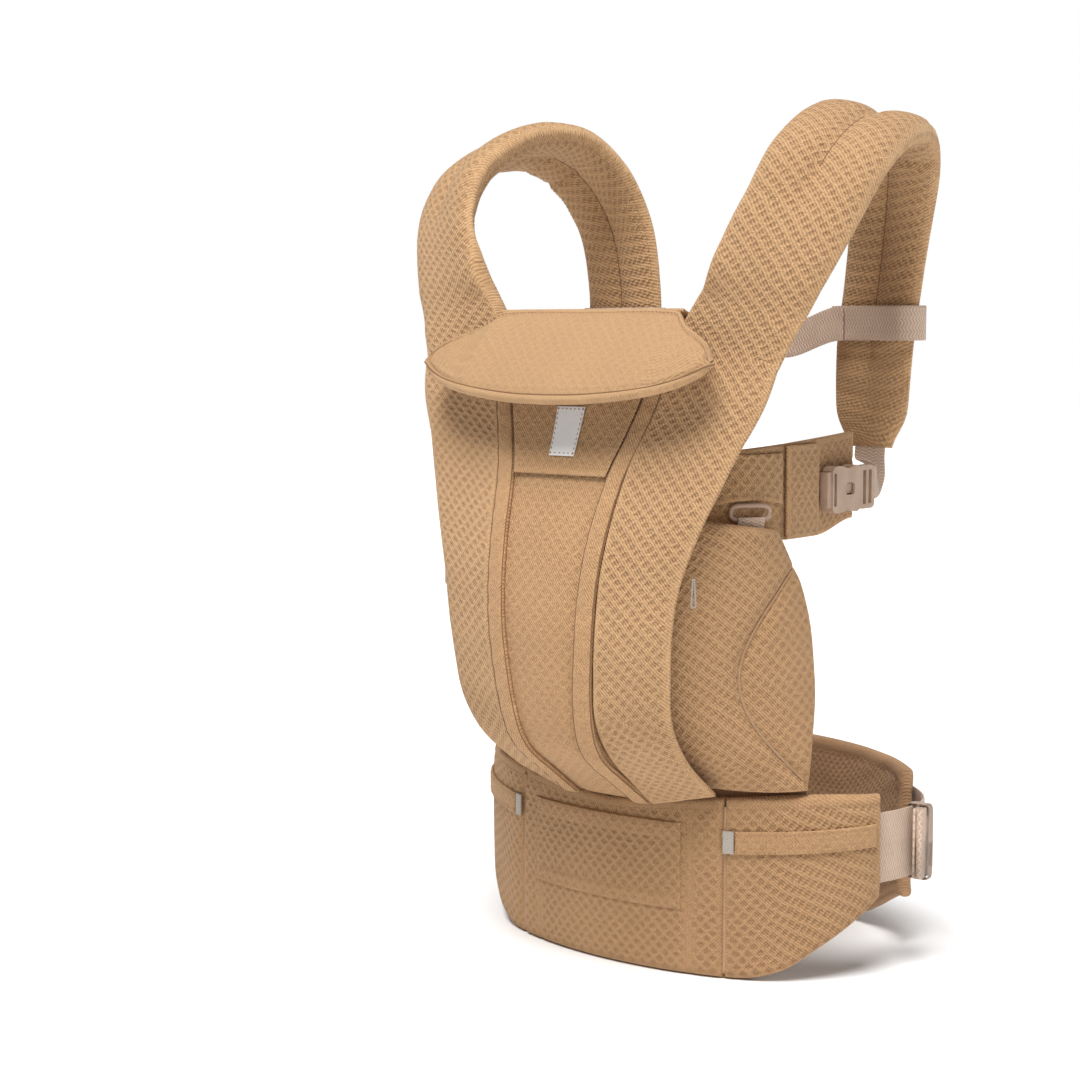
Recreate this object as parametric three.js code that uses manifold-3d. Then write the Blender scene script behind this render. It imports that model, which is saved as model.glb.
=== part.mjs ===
// Soft structured baby carrier, standing on its closed waistbelt.
// Millimetres, +Z up, -Y is the outer (front) face of the body panel, X is left-right.

import * as THREE from 'three';
import Module from 'manifold-3d';
import { mergeVertices } from 'three/addons/utils/BufferGeometryUtils.js';

const wasm = await Module();
wasm.setup();

// ---------------------------------------------------------------- driving dimensions

const GAP = 0.5;                    // clearance between neighbouring pieces
const WEBBING = 1.6;                // thickness of woven webbing
const NARROW = 25;                  // width of the shoulder and chest webbing
const WIDE = 50;                    // width of the waist webbing

const RING = { halfWidth: 172, halfDepth: 108, centreY: 12 };
const BELT = { thick: 13, seam: 31, tip: 78 };
const BELT_TOP = [[0, 117], [31, 125], [54, 129], [78, 127]];
const FLOOR = -3;                   // lower edge of the belt before it is set on the floor
const BELT_BOTTOM = [[0, FLOOR], [34, FLOOR], [46, 4], [57, 21], [68, 38], [78, 54]];

// body panel, by height: half width, seam half width, front line, set-back of the edges
const PANEL_FOOT = 126;
const PANEL_HEAD = 456;
const PANEL_HALF = [[120, 89], [150, 91], [190, 94], [240, 99], [271, 102], [307, 111],
  [344, 124], [376, 136], [400, 147], [420, 155], [456, 160]];
const PANEL_SEAM = [[120, 38], [160, 37], [200, 40], [240, 44], [271, 46], [307, 49], [348, 55],
  [377, 64], [400, 71], [456, 79]];
const PANEL_FRONT = [[120, -96], [142, -128], [164, -157], [190, -168], [236, -173], [271, -172],
  [307, -165], [344, -152], [376, -140], [414, -128], [456, -113]];
const PANEL_SETBACK = [[120, 16], [142, 24], [164, 27], [190, 22], [236, 17], [271, 15], [307, 13],
  [344, 8], [376, 5], [414, 3], [456, 0]];
const PANEL_THICK = 8;

// right shoulder strap: it runs up the side of the panel, over the arch and down behind
const STRAP_ON_PANEL = [127.5, 154, 184, 216, 250, 285, 320, 352, 384, 412, 436];
const STRAP_PATH = [[129, -115, 462], [141, -112, 490], [155, -99, 526], [160, -72, 562],
  [156, -26, 586], [147, 20, 588], [136, 51, 567], [125, 68, 530], [118, 71, 484],
  [114, 67, 434], [113, 65, 364]];
const STRAP_HALF = [37, 38.5, 39, 40, 40.5, 39, 36.5, 34, 33, 32.5, 28];
const STRAP_YAW = [5, 15, 22, 24, 16, 8, 2, -3, -4, -4, 0];
const STRAP_ROLL = [0, 2, 6, 10, 13, 13, 9, 3, 0, 0, 0];
const STRAP_THICK = [16, 18, 18, 18, 18, 18, 18, 18, 17, 15, 10];
const STRAP_PANEL_THICK = [5, 10, 13, 13, 13, 13, 13, 13, 13, 13, 14];
const STRAP_PANEL_YAW = [15, 15, 15, 14, 13, 11, 8, 6, 4, 3, 2];

// folded head and neck support: hinge line and outline below it
const SUPPORT = { hingeY: -112, hingeZ: 463, tilt: 41, thick: 9, forward: 7.5 };
const SUPPORT_HALF = [[0, 79], [7, 84], [13, 91], [20, 106], [30, 118], [42, 123], [54, 117],
  [66, 99], [75, 72], [82, 32]];

const WING_REAR = [[132, 138, -54], [161, 138, -52], [197, 137, -48], [218, 137, -50],
  [252, 135, -54], [284, 131, -64], [315, 127, -82]];
const WING_FRONT = { low: 146, high: 315 };
const WING_THICK = 10;
const WING_BULGE = 9;

const TAB_PATH = [[97, -119], [114, -98], [122, -62], [121, -15], [119, 28]];
const TAB_TOP = [[0, 367], [0.5, 372], [1, 377]];
const TAB_LOW = { front: 314, rear: 306, end: 315, step: 0.43 };
const TAB_THICK = 6;

const SHOULDER_CLIP = { x: 130, y: -20, z: 338, turn: 0 };
const CHEST = { z: 454, y: 53, sag: 13, endRight: 12, endLeft: 32, forward: 4.8 };
const CHEST_LOOP = { x: 115.8, y: 69, halfWide: 32.6, halfThick: 9, inner: 3.2, outer: 4.8 };
const STRAP_STUB = { buckleX: 129, strapX: 114, buckleY: 39.5, strapY: 66, halfWide: 8, lean: 3 };
const STRAP_STUB_HEIGHT = [[0, 346], [0.5, 354], [1, 359]];
const WAIST_CLIP = { x: -177, y: 2, z: 84, turn: -12 };
const ROLL = { at: 98, offset: 12, halfTurn: 5.5, halfThick: 4.2, z: 88 };
const ZIP_PULL = { z: 286, long: 20, top: 1.2, foot: 2.4, thick: 1.4, out: 4, back: 5, turn: 35 };
const LUMBAR = { end: 120, thick: 12, top: 134, endTop: 130, endBottom: 34 };

const COLOURS = {
  knit: { color: 0xc69c6d, roughness: 0.95, metalness: 0 },
  padded: { color: 0xd0a878, roughness: 0.95, metalness: 0 },
  lining: { color: 0xb68d60, roughness: 0.95, metalness: 0 },
  webbing: { color: 0xb4967d, roughness: 0.85, metalness: 0 },
  plastic: { color: 0xb4967d, roughness: 0.45, metalness: 0 },
  elastic: { color: 0xc8c3bd, roughness: 0.8, metalness: 0 },
  label: { color: 0xf2f0ec, roughness: 0.8, metalness: 0 },
};

// ---------------------------------------------------------------- small mathematics

// Smooth curve through [position, value] pairs, level with the chord slopes of its neighbours.
function through(table) {
  const slope = (i) => {
    const a = table[Math.max(i - 1, 0)];
    const b = table[Math.min(i + 1, table.length - 1)];
    return (b[1] - a[1]) / (b[0] - a[0]);
  };
  return (position) => {
    let i = 0;
    while (i < table.length - 2 && position > table[i + 1][0]) i += 1;
    const step = table[i + 1][0] - table[i][0];
    const t = THREE.MathUtils.clamp((position - table[i][0]) / step, 0, 1);
    const ease = t * t * (3 - 2 * t);
    const leave = t * (1 - t) * (1 - t) * step * slope(i);
    const arrive = t * t * (t - 1) * step * slope(i + 1);
    return table[i][1] * (1 - ease) + table[i + 1][1] * ease + leave + arrive;
  };
}

const evenly = (values) => through(values.map((value, i) => [i / (values.length - 1), value]));
const radians = THREE.MathUtils.degToRad;
const vector = (x, y, z) => new THREE.Vector3(x, y, z);
const mix = THREE.MathUtils.lerp;

const panelHalf = through(PANEL_HALF);
const panelSeam = through(PANEL_SEAM);
const panelFront = through(PANEL_FRONT);
const panelSetback = through(PANEL_SETBACK);
const beltTop = through(BELT_TOP);
const beltCurve = through(BELT_BOTTOM);
const beltBottom = (degrees) => Math.max(beltCurve(degrees), FLOOR);

// ---------------------------------------------------------------- solid makers

function solidFrom(positions, faces) {
  const geometry = new THREE.BufferGeometry();
  geometry.setAttribute('position', new THREE.Float32BufferAttribute(positions.flat(), 3));
  geometry.setIndex(volumeOf(positions, faces) < 0 ? faces.map(flipped).flat() : faces.flat());
  geometry.computeVertexNormals();
  return geometry;
}

const flipped = ([a, b, c]) => [a, c, b];

function volumeOf(positions, faces) {
  const at = (i) => vector(...positions[i]);
  return faces.reduce((sum, [a, b, c]) => sum + at(a).dot(at(b).cross(at(c))), 0);
}

// Closed solid through equal closed rings of points, with a flat fan on each end.
function loft(rings) {
  const count = rings[0].length;
  const faces = [];
  for (let r = 0; r < rings.length - 1; r += 1) {
    for (let i = 0; i < count; i += 1) {
      const a = r * count + i;
      const b = r * count + (i + 1) % count;
      faces.push([a, b, b + count], [a, b + count, a + count]);
    }
  }
  const last = (rings.length - 1) * count;
  for (let i = 1; i < count - 1; i += 1) {
    faces.push([0, i + 1, i], [last, last + i, last + i + 1]);
  }
  return solidFrom(rings.flat().map((p) => p.toArray()), faces);
}

// Closed slab about a middle surface(u, v), u and v from 0 to 1, thinner at its rim.
function slab(surface, across, up, thick, rim = 0.5) {
  const step = 1e-3;
  const positions = [];
  const faces = [];
  const index = (side, i, j) => side * (across + 1) * (up + 1) + j * (across + 1) + i;
  for (const side of [1, -1]) {
    for (let j = 0; j <= up; j += 1) {
      for (let i = 0; i <= across; i += 1) {
        const u = i / across;
        const v = j / up;
        const edge = i === 0 || j === 0 || i === across || j === up;
        const alongU = surface(u + step, v).sub(surface(u - step, v));
        const alongV = surface(u, v + step).sub(surface(u, v - step));
        const normal = alongU.cross(alongV).normalize();
        const half = side * thick * (edge ? rim : 1) / 2;
        positions.push(surface(u, v).addScaledVector(normal, half).toArray());
      }
    }
  }
  for (let j = 0; j < up; j += 1) {
    for (let i = 0; i < across; i += 1) {
      const front = [index(0, i, j), index(0, i + 1, j), index(0, i + 1, j + 1), index(0, i, j + 1)];
      const back = [index(1, i, j), index(1, i, j + 1), index(1, i + 1, j + 1), index(1, i + 1, j)];
      faces.push([front[0], front[1], front[2]], [front[0], front[2], front[3]]);
      faces.push([back[0], back[1], back[2]], [back[0], back[2], back[3]]);
    }
  }
  const wall = (i, j, k, l) => {
    faces.push([index(0, i, j), index(1, i, j), index(1, k, l)]);
    faces.push([index(0, i, j), index(1, k, l), index(0, k, l)]);
  };
  for (let i = 0; i < across; i += 1) {
    wall(i, 0, i + 1, 0);
    wall(i + 1, up, i, up);
  }
  for (let j = 0; j < up; j += 1) {
    wall(0, j + 1, 0, j);
    wall(across, j, across, j + 1);
  }
  return solidFrom(positions, faces);
}

// Rounded section of a padded strap: points round a flattened oval with soft corners.
function ovalSection(halfWidth, halfThick, points = 12) {
  const soft = (value) => Math.sign(value) * Math.abs(value) ** 0.6;
  return Array.from({ length: points }, (_, i) => {
    const turn = 2 * Math.PI * (i + 0.5) / points;
    return [halfWidth * soft(Math.cos(turn)), halfThick * soft(Math.sin(turn))];
  });
}

function box(sizeX, sizeY, sizeZ, x = 0, y = 0, z = 0) {
  return new THREE.BoxGeometry(sizeX, sizeY, sizeZ).translate(x, y, z);
}

// Plate centred on X = 0, cut to an outline of [y, half width in Z] corners on both sides.
function plate(thick, outline) {
  const corner = ([y, z]) => new THREE.Vector2(y, z);
  const far = outline.map(([y, z]) => [y, -z]).reverse();
  const shape = new THREE.Shape([...outline, ...far].map(corner));
  const solid = new THREE.ExtrudeGeometry(shape, { depth: thick, bevelEnabled: false });
  solid.translate(0, 0, -thick / 2);
  return solid.applyMatrix4(new THREE.Matrix4().makeBasis(vector(0, 1, 0), vector(0, 0, 1), vector(1, 0, 0)));
}

function toManifold(geometry) {
  const plain = new THREE.BufferGeometry();
  plain.setAttribute('position', geometry.getAttribute('position'));
  plain.setIndex(geometry.getIndex());
  const merged = mergeVertices(plain, 1e-4);
  return new wasm.Manifold(new wasm.Mesh({
    numProp: 3,
    vertProperties: new Float32Array(merged.getAttribute('position').array),
    triVerts: new Uint32Array(merged.getIndex().array),
  }));
}

// Joins the first list of solids and cuts the second list out of the result.
function carve(solids, cuts) {
  const joined = solids.map(toManifold).reduce((whole, next) => whole.add(next));
  const mesh = cuts.map(toManifold).reduce((whole, next) => whole.subtract(next), joined).getMesh();
  const geometry = new THREE.BufferGeometry();
  geometry.setAttribute('position', new THREE.BufferAttribute(mesh.vertProperties, 3));
  geometry.setIndex(new THREE.BufferAttribute(mesh.triVerts, 1));
  geometry.computeVertexNormals();
  return geometry;
}

// ---------------------------------------------------------------- assembly helpers

const carrier = new THREE.Group();
const SIDES = [['right', 1], ['left', -1]];

function piece(name, geometry, colour, parent = carrier) {
  const mesh = new THREE.Mesh(geometry, new THREE.MeshStandardMaterial(COLOURS[colour]));
  mesh.name = name;
  parent.add(mesh);
  return mesh;
}

const mirrored = (side, surface) => (u, v) => {
  const point = surface(u, v);
  return vector(point.x * side, point.y, point.z);
};

// Place on the belt ring: degrees from the front towards +X, offset outwards, height.
function ringPoint(degrees, offset, z) {
  const turn = radians(degrees);
  const x = (RING.halfWidth + offset) * Math.sin(turn);
  return vector(x, RING.centreY - (RING.halfDepth + offset) * Math.cos(turn), z);
}

function panelSkin(share, z) {
  const y = panelFront(z) + panelSetback(z) * Math.abs(share) ** 2.2;
  return vector(panelHalf(z) * share, y, z);
}

// Place on the body panel: share of the half width from -1 to 1, height, offset to the front.
function panelPoint(share, z, offset = 0) {
  const alongX = panelSkin(share + 0.01, z).sub(panelSkin(share - 0.01, z));
  const alongZ = panelSkin(share, z + 1).sub(panelSkin(share, z - 1));
  const outward = alongX.cross(alongZ).normalize();
  return panelSkin(share, z).addScaledVector(outward, offset);
}

// ---------------------------------------------------------------- waistbelt

function addWaistbelt() {
  const seam = BELT.seam - 0.3;
  const front = (u, v) => {
    const degrees = mix(-seam, seam, u);
    return ringPoint(degrees, 0, mix(beltBottom(Math.abs(degrees)), beltTop(Math.abs(degrees)), v));
  };
  piece('waistbelt_front', slab(front, 12, 4, BELT.thick, 0.6), 'knit');

  const patch = (u, v) => ringPoint(mix(-23, 20, u), BELT.thick / 2 + 1.6, mix(44, 106, v));
  piece('belt_front_patch', slab(patch, 9, 1, 1.8, 1), 'knit');

  for (const [word, side] of SIDES) {
    const wing = (u, v) => {
      const degrees = mix(BELT.seam + 0.3, BELT.tip, u);
      return ringPoint(degrees, 0, mix(beltBottom(degrees), beltTop(degrees), v));
    };
    piece(`waistbelt_wing_${word}`, slab(mirrored(side, wing), 10, 4, BELT.thick, 0.6), 'knit');

    const band = (u, v) => {
      const degrees = mix(BELT.seam + 3, BELT.tip - 4, u);
      return ringPoint(degrees, BELT.thick / 2 + 1.5, mix(87, 103, v) + 5 * u);
    };
    piece(`pocket_band_${word}`, slab(mirrored(side, band), 8, 1, 1.6, 1), 'knit');

    const tag = (u, v) => ringPoint(mix(30.6, 33.2, u), BELT.thick / 2 + 1.5, mix(88, 102, v));
    piece(`elastic_tab_${word}`, slab(mirrored(side, tag), 1, 1, 1.4, 1), 'elastic');
  }
}

function addLumbarPad() {
  const top = (swing) => mix(LUMBAR.endTop, LUMBAR.top, Math.cos(swing * Math.PI / 2));
  const bottom = (swing) => mix(FLOOR, LUMBAR.endBottom,
    THREE.MathUtils.smoothstep(Math.abs(swing), 0.35, 1));
  const pad = (u, v) => {
    const swing = 2 * u - 1;
    const degrees = 180 + swing * (180 - LUMBAR.end);
    return ringPoint(degrees, -1, mix(bottom(swing), top(swing), v));
  };
  piece('lumbar_pad', slab(pad, 16, 4, LUMBAR.thick, 0.6), 'lining');
}

// Webbing laid along the ring between two angles, at an offset outside it.
function ringWebbing(from, to, startOffset, endOffset, z, steps) {
  const strip = (u, v) => {
    const offset = mix(startOffset, endOffset, THREE.MathUtils.smoothstep(u, 0, 1));
    return ringPoint(mix(from, to, u), offset, z + mix(-WIDE / 2, WIDE / 2, v));
  };
  return slab(strip, steps, 1, WEBBING, 1);
}

function addWaistWebbing() {
  piece('waist_webbing_right', ringWebbing(79, 117, 0, 9, ROLL.z, 6), 'webbing');
  piece('waist_webbing_rear', ringWebbing(118, 236, 9, 9, ROLL.z, 16), 'webbing');
  piece('waist_webbing_left', ringWebbing(-79, -81, 1, 4, WAIST_CLIP.z, 2), 'webbing');

  const rim = (turn, z) => {
    const offset = ROLL.offset + ROLL.halfThick * Math.sin(turn);
    return ringPoint(ROLL.at + ROLL.halfTurn * Math.cos(turn), offset, z);
  };
  const ends = [-1, 1].map((way) => Array.from({ length: 12 },
    (_, i) => rim(2 * Math.PI * i / 12, ROLL.z + way * WIDE / 2)));
  piece('webbing_roll', loft(ends), 'webbing');

  const band = carve([box(18.8, 8, WIDE + 5.4)], [box(16, 12, WIDE + 2.6)]);
  const middle = ringPoint(ROLL.at, 9.6, ROLL.z);
  const place = new THREE.Matrix4().makeRotationZ(radians(ROLL.at - 93));
  place.setPosition(middle);
  piece('webbing_keeper', band.applyMatrix4(place), 'elastic');

  const tail = through([[0, 82.6], [0.35, 83.2], [0.7, 86.8], [1, 91.8]]);
  const strip = (u, v) => vector(mix(-160, -138, u), tail(u), WAIST_CLIP.z + mix(-25, 25, v));
  piece('waist_webbing_tail', slab(strip, 4, 1, WEBBING, 1), 'webbing');
}

// ---------------------------------------------------------------- body panel

function addPanel() {
  const centre = (u, v) => {
    const z = mix(PANEL_FOOT, PANEL_HEAD, v);
    const half = (panelSeam(z) - GAP) / panelHalf(z);
    return panelPoint(mix(-half, half, u), z);
  };
  piece('center_panel', slab(centre, 6, 11, PANEL_THICK, 0.6), 'knit');

  const liner = (u, v) => {
    const z = mix(PANEL_FOOT + 14, PANEL_HEAD - 12, v);
    return panelPoint(mix(-0.82, 0.82, u), z, -13);
  };
  piece('inner_liner', slab(liner, 6, 9, 2.4, 1), 'lining');

  const flap = (u, v) => {
    const z = mix(348, 438, v);
    const half = (panelSeam(z) - 15) / panelHalf(z);
    return panelPoint(mix(-half, half, u), z, PANEL_THICK / 2 + 2.8);
  };
  piece('front_flap', slab(flap, 5, 4, 2, 1), 'knit');

  const label = (u, v) => panelPoint(mix(-0.083, 0.083, u), mix(360, 394, v), PANEL_THICK / 2 + 4.8);
  piece('label_patch', slab(label, 1, 2, 0.8, 1), 'label');

  for (const [word, side] of SIDES) {
    const binding = (u, v) => {
      const z = mix(172, 424, v);
      const x = panelSeam(z) - mix(14, 1, u);
      return panelPoint(x / panelHalf(z), z, PANEL_THICK / 2 + 2.2);
    };
    piece(`seam_binding_${word}`, slab(mirrored(side, binding), 1, 11, 2, 1), 'knit');
  }
}

function addHeadSupport() {
  const half = through(SUPPORT_HALF);
  const tilt = radians(SUPPORT.tilt);
  const long = SUPPORT_HALF.at(-1)[0];
  const pad = (u, v) => {
    const down = mix(2, long, v);
    const droop = 3 * (2 * u - 1) ** 2;
    const y = SUPPORT.hingeY - down * Math.sin(tilt) - SUPPORT.forward;
    return vector(half(down) * (2 * u - 1), y, SUPPORT.hingeZ - down * Math.cos(tilt) - droop);
  };
  piece('head_support', slab(pad, 10, 8, SUPPORT.thick, 0.5), 'padded');
}

// ---------------------------------------------------------------- shoulder straps

// Strap stations from the belt upwards: place, half width, thickness, yaw and roll of each.
function strapStations() {
  const onPanel = STRAP_ON_PANEL.map((z, i) => {
    const inner = panelSeam(z) + 4;
    const outer = panelHalf(z) * 0.99;
    const share = (inner + outer) / 2 / panelHalf(z);
    const centre = panelSkin(share, z);
    const half = (outer - inner) / 2;
    const thick = STRAP_PANEL_THICK[i];
    return { place: [centre.x, centre.y, z], half, thick, yaw: STRAP_PANEL_YAW[i], roll: 0 };
  });
  const free = STRAP_PATH.map((place, i) => ({
    place, half: STRAP_HALF[i], thick: STRAP_THICK[i], yaw: STRAP_YAW[i], roll: STRAP_ROLL[i],
  }));
  return [...onPanel, ...free];
}

// One section of the right strap at u from 0 (at the belt) to 1 (at the buckle).
function strapSection(u, curves, points) {
  const at = (t) => vector(curves.x(t), curves.y(t), curves.z(t));
  const along = at(Math.min(u + 1e-3, 1)).sub(at(Math.max(u - 1e-3, 0))).normalize();
  const yaw = radians(curves.yaw(u));
  const roll = radians(curves.roll(u));
  const wide = vector(Math.cos(yaw) * Math.cos(roll), Math.sin(yaw) * Math.cos(roll), -Math.sin(roll));
  wide.addScaledVector(along, -wide.dot(along)).normalize();
  const normal = along.clone().cross(wide);
  return ovalSection(curves.half(u), curves.thick(u) / 2, points).map(([w, t]) => (
    at(u).addScaledVector(wide, w).addScaledVector(normal, t)));
}

function addShoulderStraps() {
  const stations = strapStations();
  const curve = (read) => evenly(stations.map(read));
  const curves = {
    x: curve((s) => s.place[0]), y: curve((s) => s.place[1]), z: curve((s) => s.place[2]),
    half: curve((s) => s.half), thick: curve((s) => s.thick),
    yaw: curve((s) => s.yaw), roll: curve((s) => s.roll),
  };
  const steps = 44;
  for (const [word, side] of SIDES) {
    const rings = Array.from({ length: steps + 1 }, (_, i) => (
      strapSection(i / steps, curves, 10).map((p) => vector(p.x * side, p.y, p.z))));
    piece(`shoulder_strap_${word}`, loft(rings), 'padded');
  }
}

// ---------------------------------------------------------------- seat wings and side tabs

function addSeatWings() {
  const rearX = through(WING_REAR.map(([z, x]) => [z, x]));
  const rearY = through(WING_REAR.map(([z, , y]) => [z, y]));
  for (const [word, side] of SIDES) {
    const wing = (u, v) => {
      const rearZ = mix(WING_REAR[0][0], WING_REAR.at(-1)[0], v);
      const z = mix(THREE.MathUtils.clamp(rearZ, WING_FRONT.low, WING_FRONT.high), rearZ, u);
      const frontX = panelHalf(z) - 13;
      const frontY = panelFront(z) + panelSetback(z) + 16;
      const bulge = WING_BULGE * Math.sin(Math.PI * THREE.MathUtils.clamp(u, 0, 1));
      return vector(mix(frontX, rearX(z), u) + bulge, mix(frontY, rearY(z), u) - bulge / 2, z);
    };
    piece(`seat_wing_${word}`, slab(mirrored(side, wing), 5, 7, WING_THICK, 0.5), 'knit');
  }
}

function tabPoint(u, z, offset = 0) {
  const x = evenly(TAB_PATH.map((p) => p[0]));
  const y = evenly(TAB_PATH.map((p) => p[1]));
  const along = vector(x(u + 1e-3) - x(u - 1e-3), y(u + 1e-3) - y(u - 1e-3), 0).normalize();
  return vector(x(u) + along.y * offset, y(u) - along.x * offset, z);
}

function addSideTabs() {
  const top = through(TAB_TOP);
  const low = (u) => {
    const drop = THREE.MathUtils.smoothstep(u, TAB_LOW.step, TAB_LOW.step + 0.06);
    const rise = THREE.MathUtils.smoothstep(u, 0.7, 1);
    return mix(mix(TAB_LOW.front, TAB_LOW.rear, drop), TAB_LOW.end, rise);
  };
  for (const [word, side] of SIDES) {
    const inside = (u) => THREE.MathUtils.clamp(u, 0, 1);
    const tab = (u, v) => tabPoint(u, mix(low(inside(u)), top(inside(u)), v));
    piece(`side_tab_${word}`, slab(mirrored(side, tab), 12, 2, TAB_THICK, 0.7), 'knit');

    const cover = (u, v) => tabPoint(mix(0.47, 0.68, u), mix(307, 371, v), TAB_THICK / 2 + 2);
    piece(`tab_cover_${word}`, slab(mirrored(side, cover), 3, 1, 2.4, 1), 'knit');

    const ring = carve([box(31, 3.6, 14)], [box(21, 8, 6)]);
    const hang = tabPoint(0.25, 324, TAB_THICK / 2 + 3);
    const place = new THREE.Matrix4().makeRotationZ(side * radians(55));
    place.setPosition(hang.x * side, hang.y, hang.z);
    piece(`tab_ring_${word}`, ring.applyMatrix4(place), 'plastic');
  }
}

// ---------------------------------------------------------------- side-release buckles

// Parts of a buckle for one webbing width. +Y is the way the male half pulls out, Z is its
// width and X its thickness; the origin is the closed end of the female housing.
function buckleParts(webbing) {
  const s = 0.6 + 0.4 * webbing / NARROW;
  const wide = webbing + 8 * s;
  const thick = 5 + 4 * s;
  const body = 36 * s;
  const mouth = 25 * s;
  const inner = { wide: webbing + 2 * s, thick: thick - 3.6 };
  const start = body - mouth;
  const w = wide / 2;
  const shell = plate(thick, [[0, w - 3.2 * s], [1.4 * s, w - 1.2 * s], [4 * s, w - 0.3 * s], [9 * s, w],
    [14 * s, w - 0.4 * s], [17 * s, w - 1.5 * s], [21 * s, w - 2 * s], [25 * s, w - 1.5 * s],
    [28 * s, w - 0.4 * s], [31 * s, w], [34 * s, w - 0.4 * s], [body, w - 1.8 * s]]);
  const view = plate(thick + 2, [[start + 6 * s, 2.4 * s], [start + 8 * s, 4.2 * s],
    [start + 16 * s, 4.2 * s], [start + 17.5 * s, 3 * s]]);
  const female = carve(
    [shell, box(thick * 0.7, 6 * s, webbing, 0, -2 * s, 0)],
    [
      box(inner.thick, mouth + 1, inner.wide, 0, start + (mouth + 1) / 2, 0),
      box(inner.thick, 11 * s, wide + 2, 0, start + 10 * s, 0),
      view,
      box(thick + 2, 3.4, webbing - 2, 0, 3.4 * s, 0),
    ],
  );
  const reach = mouth - 2;
  const tip = body - reach;
  const root = body + GAP;
  const base = 21 * s;
  const frame = plate(thick * 0.75, [[root, w - 2.4 * s], [root + 1.5 * s, w - 1.4], [root + 4 * s, w - 1],
    [root + base - 4 * s, w - 1], [root + base - 1.2 * s, w - 2 * s], [root + base, w - 3.6 * s]]);
  const male = carve(
    [
      frame,
      box(inner.thick - 1, reach + GAP + 1, 7 * s, 0, body - (reach - GAP - 1) / 2, 0),
    ],
    [
      box(thick, 4.2 * s, webbing - 1, 0, body + 8 * s, 0),
      box(thick, 4.2 * s, webbing - 1, 0, body + 15.5 * s, 0),
    ],
  );
  const arm = { thick: inner.thick - 1, wide: 4.6 * s, z: inner.wide / 2 - 2.3 * s - 0.6 };
  const prongs = [1, -1].map((way) => box(arm.thick, reach - GAP, arm.wide, 0,
    tip + (reach - GAP) / 2 - GAP, way * arm.z));
  return { female, male, prongs };
}

function addBuckle(name, webbing, place) {
  const { female, male, prongs } = buckleParts(webbing);
  piece(`${name}_female`, female.applyMatrix4(place), 'plastic');
  piece(`${name}_male`, male.applyMatrix4(place), 'plastic');
  piece(`${name}_prong_upper`, prongs[0].applyMatrix4(place), 'plastic');
  piece(`${name}_prong_lower`, prongs[1].applyMatrix4(place), 'plastic');
}

function addShoulderBuckles() {
  for (const [word, side] of SIDES) {
    const place = new THREE.Matrix4().makeRotationZ(radians(SHOULDER_CLIP.turn * side));
    place.setPosition(SHOULDER_CLIP.x * side, SHOULDER_CLIP.y, SHOULDER_CLIP.z);
    addBuckle(`shoulder_buckle_${word}`, NARROW, place);
  }
}

// Short webbing from the male shoulder buckle up to the lower end of the strap.
function addStrapWebbing() {
  const { buckleX, strapX, buckleY, strapY, halfWide, lean } = STRAP_STUB;
  const height = through(STRAP_STUB_HEIGHT);
  for (const [word, side] of SIDES) {
    const stub = (u, v) => {
      const x = mix(buckleX, strapX, u) + mix(-halfWide, halfWide, v) * u;
      return vector(x, mix(buckleY, strapY, u), height(u) + mix(-lean, lean, v) * (1 - u));
    };
    piece(`strap_webbing_${word}`, slab(mirrored(side, stub), 4, 1, WEBBING, 1), 'webbing');
  }
}

// ---------------------------------------------------------------- chest strap

function addChestStrap() {
  const outline = (reach) => {
    const shape = new THREE.Shape();
    const w = CHEST_LOOP.halfWide + reach;
    const t = CHEST_LOOP.halfThick + reach;
    shape.moveTo(-w + t, -t);
    shape.lineTo(w - t, -t);
    shape.absarc(w - t, 0, t, -Math.PI / 2, Math.PI / 2);
    shape.lineTo(-w + t, t);
    shape.absarc(-w + t, 0, t, Math.PI / 2, Math.PI * 1.5);
    return shape;
  };
  const wall = (reach, depth) => new THREE.ExtrudeGeometry(outline(reach),
    { depth, bevelEnabled: false, curveSegments: 5 });
  for (const [word, side] of SIDES) {
    const inside = wall(CHEST_LOOP.inner, NARROW * 2).translate(0, 0, -NARROW / 2);
    const loop = carve([wall(CHEST_LOOP.outer, NARROW)], [inside]);
    loop.translate(CHEST_LOOP.x * side, CHEST_LOOP.y, CHEST.z - NARROW / 2);
    piece(`chest_loop_${word}`, loop, 'webbing');

    const end = side > 0 ? CHEST.endRight : CHEST.endLeft;
    const forward = side > 0 ? 0 : CHEST.forward;
    const strip = (u, v) => {
      const z = CHEST.z - CHEST.sag * THREE.MathUtils.smoothstep(u, 0, 0.6);
      const y = CHEST.y - forward * THREE.MathUtils.smoothstep(u, 0, 1);
      return vector(mix(CHEST_LOOP.x - 20, end, u), y, z + mix(-NARROW / 2, NARROW / 2, v));
    };
    piece(`chest_webbing_${word}`, slab(mirrored(side, strip), 6, 1, WEBBING, 1), 'webbing');
  }
  const place = new THREE.Matrix4().makeRotationZ(radians(-90));
  place.setPosition(-26, CHEST.y - CHEST.forward, CHEST.z - CHEST.sag);
  addBuckle('chest_buckle', NARROW, place);
}

function addWaistBuckle() {
  const place = new THREE.Matrix4().makeRotationZ(radians(WAIST_CLIP.turn));
  place.setPosition(WAIST_CLIP.x, WAIST_CLIP.y, WAIST_CLIP.z);
  addBuckle('waist_buckle', WIDE, place);
}

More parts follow.
